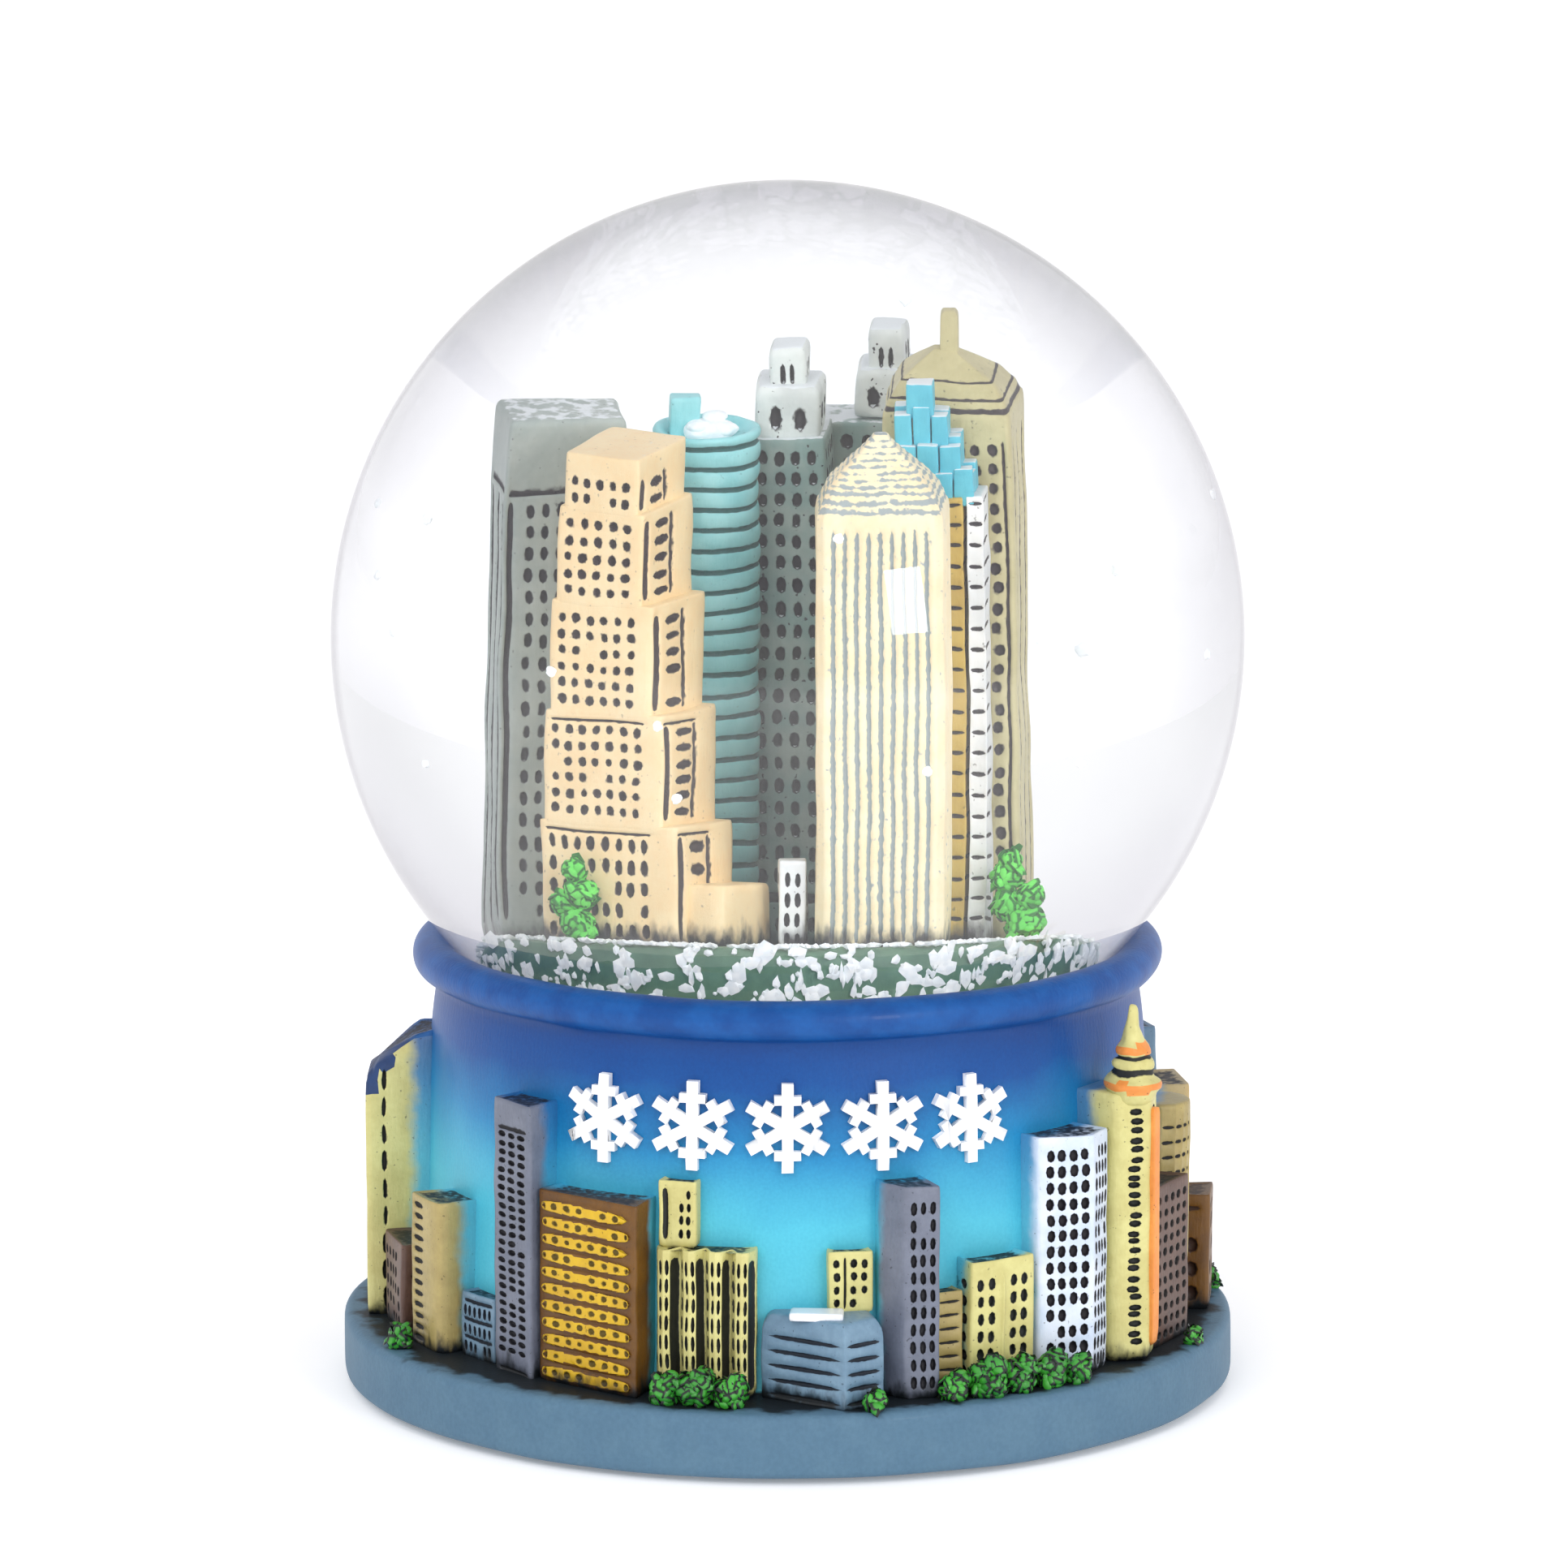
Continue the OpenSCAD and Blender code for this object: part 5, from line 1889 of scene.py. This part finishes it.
@dataclass
class InnerSkyline:
    """The seven towers and the annex that stand in the water."""

    sink: float = 0.3
    wave: float = 0.16

    def _finish(self, clay: Clay, node: str, paints: list[Paint]) -> None:
        """Roughens a tower by hand and settles it.

        Args:
            clay: the tower.
            node: the CAD node that it stands for.
            paints: its paints, by their numbers.
        """
        clay.wobble(self.wave, 3.2)
        clay.wobble(0.05, 0.9)
        settle(clay, f"{node}_model", paints, "globe", (node,))

    def _plan(self, node: str) -> tuple[float, float, float, float]:
        """Plan box of a tower.

        Args:
            node: the tower's CAD node.

        Returns:
            Its two x, then its two y.
        """
        low, high = box_mm(node)
        return low.x, high.x, low.y, high.y

    def slab(self) -> None:
        """The grey-green slab with a plain cap."""
        clay = Clay(11)
        top = box_mm("slab_tower")[1].z
        front: Strips = (plain(0.25), groove(0.32), plain(0.45), windows(6), plain(0.5))
        Block(
            rectangle(*self._plan("slab_tower")), MOUND_TOP - self.sink, top - 0.5,
            (plain(1.6), windows(19), plain(0.2), groove(0.16), plain(3.6)),
            {0: front, 1: bays(0.4, 4, 0.4), 2: bays(0.4, 6, 0.4),
             3: lines(3, Strip.GROOVE, 0.35, 0.8, 0.3)},
            Cut(open=0.5, depth=0.3, missing=0.02), crown=((0.25, 0.99), (0.25, 0.94)),
        ).build(clay)
        self._finish(clay, "slab_tower", [SLAB_GREY])

    def stepped(self) -> None:
        """The peach tower whose tiers step out to the right as they go down."""
        clay = Clay(12)
        wide, deep, high = 4.9, 6.6, 28.6
        tiers = (
            (-wide, 0.0, deep, high, high - 3.3, 5, bays(0.2, 2, 1.1)),
            (-wide - 0.3, 0.4, deep + 0.2, high - 3.3, high - 8.8, 5, bays(0.3, 5, 0.3)),
            (-wide - 0.6, 1.1, deep + 0.4, high - 8.8, high - 15.1, 6, bays(0.3, 6, 0.4)),
            (-wide - 0.9, 1.8, deep + 0.6, high - 15.1, high - 21.5, 7,
             (plain(0.4), windows(6), groove(0.14), plain(0.3))),
            (-wide - 1.2, 2.7, deep + 0.8, high - 21.5, -self.sink, 8,
             (plain(0.5), windows(5), groove(0.14), plain(0.3))),
        )
        rooted = 0.6
        for x0, x1, y1, top, bottom, count, courses in tiers:
            side: Strips = (plain(0.3), groove(0.7), plain(0.3), windows(1), groove(0.3),
                            plain(y1 * 0.42))
            Block(
                rectangle(x0, x1, 0.0, y1), MOUND_TOP + bottom - rooted, MOUND_TOP + top,
                (plain(rooted), *courses),
                {0: (plain(0.35), windows(count), plain(0.35 + max(0.0, x1) * 0.5)), 1: side,
                 2: bays(0.5, count, 0.5), 3: bays(0.5, 6, 0.5)},
                Cut(open=0.56, depth=0.3, missing=0.06), crown=((0.12, 0.99),),
            ).build(clay)
        Block(
            rectangle(-wide - 1.5, 5.0, 1.5, deep + 0.9), MOUND_TOP - self.sink, MOUND_TOP + high - 25,
            (plain(0.4), plain(2.4), plain(0.4)), crown=((0.15, 0.97),),
        ).build(clay)
        turned(clay.mesh.verts, (-8.8, -9.5), -30)
        self._finish(clay, "stepped_tower", [PEACH])

    def round(self) -> None:
        """The teal drum tower with a groove at every floor."""
        clay = Clay(13)
        centre, radius, high, floors = (-4.3, 3.1), 2.85, 27.5, 24
        pitch = (high - 0.6) / floors
        profile: list[Point] = [(0.0, MOUND_TOP - self.sink), (radius, MOUND_TOP - self.sink)]
        stains = [0.0, 0.0]
        for i in range(floors):
            low = MOUND_TOP + i * pitch
            profile += [(radius, low + 0.1), (radius + 0.05, low + pitch * 0.5),
                        (radius, low + pitch - 0.2),
                        (radius - 0.17, low + pitch - 0.12), (radius - 0.17, low + pitch - 0.02)]
            stains += [0.1, 0.0, 0.1, 0.95, 0.95]
        top = MOUND_TOP + high
        profile += [(radius + 0.1, top - 0.4), (radius + 0.1, top), (radius - 0.45, top),
                    (radius - 0.5, top - 0.55),
                    (0.0, top - 0.55)]
        stains += [0.0, 0.0, 0.0, 0.35, 0.2]
        clay.lathe(profile, centre, 40, stains)
        Block(
            rectangle(centre[0] - radius * 0.7, centre[0] - radius * 0.1, centre[1] - 0.1,
                      centre[1] + radius * 0.4),
            top - 1.0, top + 1.55, (plain(0.3), plain(1), plain(0.3)),
        ).build(clay)
        for x, y, z, size in ((0.2, 0.3, 0.0, 1.5), (0.9, 0.0, 0.1, 0.9), (-0.3, -0.2, 0.35, 0.8),
                              (0.5, 0.5, 0.7, 0.7)):
            clay.lump(Vector((centre[0] + x, centre[1] + y, top - 0.3 + z)),
                      Vector((size, size * 0.9, size * 0.42)), 3,
                      0.06, paint=1)
        self._finish(clay, "round_tower", [TEAL, GRAINS])

    def twin(self) -> None:
        """The grey tower with two tiered crowns."""
        clay = Clay(14)
        wide, deep, high = 3.9, 4.5, 26.3
        ground = MOUND_TOP - self.sink
        rows: Strips = (plain(1.0), windows(1), plain(0.5), groove(0.5), plain(0.2), windows(20),
                        plain(0.4))
        cut = Cut(open=0.6, depth=0.34, missing=0.01)
        Block(rectangle(-wide / 2, wide / 2, 0, deep), ground, MOUND_TOP + high, rows,
              {0: bays(0.25, 4, 0.25), 1: bays(0.3, 4, 0.3),
               3: bays(0.3, 4, 0.3)}, cut).build(clay)
        Block(rectangle(0.5, 6.6, deep + 0.02, deep + 3.7), ground, MOUND_TOP + high - 0.3, rows,
              {0: bays(1.6, 4, 0.3), 1: bays(0.3, 3, 0.3),
               2: bays(0.3, 6, 0.3)}, cut).build(clay)
        crowns = (
            (-1.75, 1.65, 0.4, deep - 0.4, 0.0, 2.6, 2), (-1.0, 0.9, 1.1, deep - 1.1, 2.4, 4.5, 2),
            (2.9, 5.9, deep + 0.5, deep + 3.3, 0.0, 2.3, 2),
            (3.5, 5.4, deep + 0.9, deep + 2.8, 2.1, 4.3, 2),
        )
        for x0, x1, y0, y1, low, top, count in crowns:
            wall: Strips = bays(0.45, count, 0.45)
            Block(rectangle(x0, x1, y0, y1), MOUND_TOP + high - 0.3 + low, MOUND_TOP + high + top - 0.3,
                  bays(0.3, 1, 0.4), {i: wall for i in range(4)},
                  Cut(open=0.55, depth=0.4, missing=0.0), crown=((0.3, 0.86),), paint=1).build(clay)
        turned(clay.mesh.verts, (0, 5), -5)
        self._finish(clay, "twin_crown_tower", [TWIN_GREY, CROWN_WHITE])

    def ribbed(self) -> None:
        """The ivory tower with ribs up its faces and a stepped pyramid."""
        clay = Clay(15)
        x0, x1, y0, y1 = self._plan("ribbed_tower")
        top = box_mm("ribbed_tower")[1].z - 4.8
        face = lines(9, Strip.GROOVE, 0.3, 0.48, 0.42)
        flank = lines(7, Strip.GROOVE, 0.3, 0.48, 0.42)
        wide = x1 - x0
        roof = (*steps_up(wide, wide - 1.4, 1.6, 3, 0.7), *steps_up(wide - 1.9, 0.5, 3.2, 9, 0.55))
        Block([(x0 + 0.5, y0), (x1 - 0.5, y0), (x1, y0 + 0.5), (x1, y1 - 0.5), (x1 - 0.5, y1),
               (x0 + 0.5, y1),
               (x0, y1 - 0.5), (x0, y0 + 0.5)],
              MOUND_TOP - self.sink, top, (plain(0.3), *(windows(1),) * 12, plain(0.35)),
              {0: face, 2: flank, 4: face, 6: flank}, Cut(line_depth=0.26), crown=roof).build(clay)
        self._finish(clay, "ribbed_tower", [IVORY])

    def cubes(self) -> None:
        """The tower that ends in a heap of teal cubes over yellow and white strips."""
        clay = Clay(16)
        x0, x1, y0, y1 = self._plan("cube_tower")
        high = box_mm("cube_tower")[1].z - 6.4
        floors: Strips = (plain(0.8), *(plain(0.95), groove(0.2)) * 21, plain(0.3))
        strips = (
            (x0, x0 + 3.0, 0), (x0 + 3.0, x0 + 4.05, 1), (x0 + 4.25, x1, 2),
        )
        for left, right, paint in strips:
            Block(rectangle(left, right, y0 + (0.1 if paint == 2 else 0.0), y1), MOUND_TOP - self.sink,
                  high, floors,
                  {i: bays(0.04, 1, 0.04) for i in range(4)},
                  Cut(open=0.94, depth=0.04, line_depth=0.16), paint=paint).build(clay)
        tiers = ((0.1, 4.7, 0.1, 3.3, 0.0, 1.6), (0.2, 4.0, 0.3, 3.2, 1.5, 3.3),
                 (0.2, 3.3, 0.6, 3.0, 3.2, 5.0),
                 (0.9, 2.5, 0.9, 2.7, 4.9, 6.4))
        for a, b, c, d, low, top in tiers:
            across = max(1, round((b - a) / 1.15))
            along = max(1, round((d - c) / 1.15))
            for i in range(across):
                for j in range(along):
                    wide, deep = (b - a) / across, (d - c) / along
                    rise = clay.draw.uniform(-0.45, 0.1)
                    left, near = x0 + a + i * wide, y0 + c + j * deep
                    jut = clay.draw.uniform(0.0, 0.3)
                    Block(rectangle(left + 0.03, left + wide - 0.03, near - jut + 0.2,
                                    near + deep - 0.03), high + low - 0.6,
                          high + top + rise, (plain(0.15), plain(1), plain(0.15)), paint=3).build(clay)
        self._finish(clay, "cube_tower", [TEAL, MUSTARD, PALE, CUBE_TEAL])

    def spire(self) -> None:
        """The khaki tower with a domed pyramid and a post."""
        clay = Clay(17)
        x0, x1, y0, y1 = self._plan("spire_tower")
        high = box_mm("spire_tower")[1].z - 5.5
        front: Strips = (plain(0.4), windows(3), groove(0.16), plain(0.2), windows(3), groove(0.16),
                         plain(0.4))
        dome = ((0.1, 0.97, 0.0), (0.08, 0.97, 0.8), (0.5, 0.97, 0.0), (0.1, 0.97, 0.0),
                (0.08, 0.98, 0.9), (0.12, 0.97, 0.0),
                (0.6, 0.88, 0.0), (0.1, 0.96, 0.0), (0.08, 0.97, 0.8), (0.1, 0.95, 0.0),
                (0.55, 0.7, 0.0), (0.45, 0.55, 0.0),
                (0.3, 0.6, 0.0))
        Block(rectangle(x0, x1, y0, y1), MOUND_TOP - self.sink, high, bays(1.6, 24, 1.4),
              {0: front, 1: lines(3, Strip.GROOVE, 0.16, 0.9, 0.6), 2: front, 3: front},
              Cut(open=0.58, depth=0.26, line_depth=0.2, missing=0.02, jitter=0.12),
              crown=dome).build(clay)
        middle = ((x0 + x1) / 2, (y0 + y1) / 2)
        Block(rectangle(middle[0] - 0.5, middle[0] + 0.5, middle[1] - 0.5, middle[1] + 0.5), high + 1.0,
              high + 5.2,
              (plain(1.4), plain(2.3), plain(0.3)), crown=((0.25, 0.7),)).build(clay)
        self._finish(clay, "spire_tower", [OLIVE])

    def annex(self) -> None:
        """The low whitish annex between the front towers."""
        clay = Clay(18)
        Block(rectangle(*self._plan("low_annex")), MOUND_TOP - self.sink, box_mm("low_annex")[1].z,
              bays(0.3, 4, 0.5),
              {i: bays(0.2, 2 + i % 2 * 2, 0.2) for i in range(4)},
              Cut(open=0.6, depth=0.3)).build(clay)
        self._finish(clay, "low_annex", [PALE])

    def build(self) -> None:
        """Makes every tower."""
        for maker in (self.slab, self.stepped, self.round, self.twin, self.ribbed, self.cubes,
                      self.spire, self.annex):
            maker()


@dataclass
class Mound:
    """The green mound that the skyline stands on, and the snow that has settled on it."""

    steps: int = 120
    side_chips: int = 1200
    top_chips: int = 620
    green: Paint = Paint("mound green", (98, 134, 108), (78, 112, 92), wash=(214, 222, 220), specks=0.0,
                         roughness=0.6)

    def build(self) -> None:
        """Makes the mound and its snow."""
        low, high = box_mm("skyline_mound")
        radius = high.x
        clay = Clay(20)
        profile = [(0.0, low.z), (radius, low.z), (radius, low.z + 2), (radius, low.z + 4),
                   (radius, low.z + 6),
                   (radius - 0.1, high.z - 0.5), (radius - 0.5, high.z - 0.1), (radius - 1.6, high.z),
                   (radius - 5, high.z),
                   (0.0, high.z)]
        clay.lathe(profile, (0, 0), self.steps)
        clay.wobble(0.18, 2.2)
        settle(clay, "green_mound", [self.green], "globe", ("skyline_mound",), levels=1)
        snow = Clay(21)
        for _ in range(self.side_chips):
            azimuth = snow.draw.uniform(-180, 180)
            depth = snow.draw.random() ** 0.8 * 4.6
            if noise.noise(Vector((azimuth * 0.16, depth * 0.7, 3.0))) < -0.12:
                continue
            at = Vector((*polar(azimuth, radius - 0.02), high.z - 0.2 - depth))
            size = snow.draw.uniform(0.25, 0.85)
            made = snow.lump(Vector(), Vector((size, 0.16, size * snow.draw.uniform(0.6, 1.0))), 1, 0.3)
            for vert in made:
                vert.co = at + Matrix.Rotation(math.radians(azimuth), 3, "Z") @ self._upright(vert.co)
        for _ in range(self.top_chips):
            azimuth = snow.draw.uniform(-180, 180)
            out = radius - 0.15 - abs(snow.draw.gauss(0, 1.6))
            size = snow.draw.uniform(0.18, 0.55)
            at = Vector((*polar(azimuth, out), high.z + 0.02))
            snow.lump(at, Vector((size, size * snow.draw.uniform(0.6, 1), 0.2)), 1, 0.3)
        settle(snow, "settled_snow_chips", [GRAINS], "globe", ("settled_snow",), levels=0)

    @staticmethod
    def _upright(point: Vector) -> Vector:
        """Keeps a chip's flat side towards the mound's wall."""
        return Vector((point.x, max(-0.2, min(0.2, point.y)), point.z))


@dataclass
class LooseSnow:
    """The flakes that drift in the water."""

    crumple: float = 0.12
    merge: float = 0.003
    # drifting snow glows more: painted light that keeps it white in the water
    drifting: Moulded = replace(GRAINS, name="drifting snow", glow=0.5)

    def build(self) -> None:
        """Crumples a copy of each cloud of flakes."""
        for seed, node, body in ((31, "rising_flakes", "rising_snow"),
                                 (32, "swirling_flakes", "swirling_snow")):
            clay = Clay(seed)
            clay.mesh.from_mesh(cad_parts[node].data)
            bmesh.ops.scale(clay.mesh, vec=(1 / MM,) * 3, verts=clay.mesh.verts)
            bmesh.ops.remove_doubles(clay.mesh, verts=clay.mesh.verts, dist=self.merge)
            clay.wobble(self.crumple, 0.22)
            settle(clay, f"{node}_grains", [self.drifting], body, (node,), levels=0)


# -------- studio


@dataclass
class Studio:
    """Pale floor, soft lights and the camera, in metres."""

    floor_r: float = 4.0
    eye: tuple[float, float, float] = (0.0, -0.540, 0.141)
    aim: tuple[float, float, float] = (0.0, 0.0, 0.043)
    lens: float = 176.5
    shift: float = -0.0023
    lamps: tuple[tuple, ...] = (
        ("key", (-0.35, -0.75, 0.65), (0.5, 0.5), 2.7, False),
        ("fill", (0.75, -0.65, 0.35), (0.35, 0.5), 0.8, False),
        ("window", (0.305, -0.532, 0.235), (0.1, 0.17), 0.7, True),
    )
    sky: tuple[tuple[float, Shade], ...] = (
        (0.0, (250, 250, 250)), (0.5, (255, 255, 255)), (0.56, (252, 252, 253)), (0.7, (232, 230, 236)),
        (1.0, (255, 255, 255)),
    )
    white: Moulded = Moulded("pale floor", (252, 252, 252), (250, 250, 250), 0.9, 40.0, 0.0, glow=0.2)

    def _floor(self) -> None:
        """Lays a pale disc under the object."""
        mesh = bmesh.new()
        bmesh.ops.create_circle(mesh, cap_ends=True, segments=96, radius=self.floor_r)
        data = bpy.data.meshes.new("floor")
        mesh.to_mesh(data)
        mesh.free()
        data.materials.append(self.white.material())
        floor = bpy.data.objects.new("floor", data)
        bpy.context.scene.collection.objects.link(floor)

    def _lamp(self, name: str, at: Vector, size: Point, watts: float, mirrored: bool) -> None:
        """Hangs one soft rectangular light that faces the globe.

        Args:
            name: the light's name.
            at: where it hangs.
            size: its width and height.
            watts: its power.
            mirrored: whether it shows in reflections.
        """
        data = bpy.data.lights.new(name, "AREA")
        data.shape = "RECTANGLE"
        data.size, data.size_y = size
        data.energy = watts
        lamp = bpy.data.objects.new(name, data)
        lamp.location = at
        lamp.rotation_mode = "QUATERNION"
        lamp.rotation_quaternion = (at - Vector(self.aim)).to_track_quat("Z", "Y")
        lamp.visible_glossy = mirrored
        lamp.visible_transmission = False
        bpy.context.scene.collection.objects.link(lamp)

    def _air(self) -> None:
        """Surrounds the object with soft light."""
        world = bpy.data.worlds.new("studio air")
        world.use_nodes = True
        tree = world.node_tree
        coords = place(tree, "ShaderNodeTexCoord").outputs["Generated"]
        up = place(tree, "ShaderNodeSeparateXYZ", {0: coords}).outputs[2]
        share = maths(tree, "MULTIPLY_ADD", up, 0.5, 0.5)
        light = colour_ramp(tree, share, [(at, linear(shade)) for at, shade in self.sky])
        feed(tree, tree.nodes["Background"], {"Color": light, "Strength": 1.0})
        bpy.context.scene.world = world

    def _camera(self) -> None:
        """Sets up the camera in front of the object."""
        data = bpy.data.cameras.new("camera")
        data.lens = self.lens
        data.sensor_width = 36.0
        data.shift_x = self.shift
        data.clip_start, data.clip_end = 0.01, 50.0
        camera = bpy.data.objects.new("camera", data)
        camera.location = self.eye
        camera.rotation_mode = "QUATERNION"
        camera.rotation_quaternion = (Vector(self.eye) - Vector(self.aim)).to_track_quat("Z", "Y")
        bpy.context.scene.collection.objects.link(camera)
        bpy.context.scene.camera = camera

    def build(self) -> None:
        """Sets the floor, the lights, the surroundings, the camera and how light is traced."""
        self._floor()
        for name, at, size, watts, mirrored in self.lamps:
            self._lamp(name, Vector(at), size, watts, mirrored)
        self._air()
        self._camera()
        scene = bpy.context.scene
        scene.view_settings.view_transform = "Standard"
        scene.cycles.max_bounces = 20
        scene.cycles.transmission_bounces = 16
        scene.cycles.transparent_max_bounces = 24


def main() -> None:
    """Builds every sub-assembly in order."""
    logging.basicConfig(level=logging.INFO, format="%(message)s")
    noise.seed_set(SEED)
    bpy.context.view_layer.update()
    for part in (
        Studio(), PaintedBase(), Motifs(), ReliefSkyline(), Greenery(), Mound(), InnerSkyline(),
        LooseSnow(),
        GlassBall(),
    ):
        part.build()
        log.info("built %s", type(part).__name__)


if __name__ == "__main__":
    main()
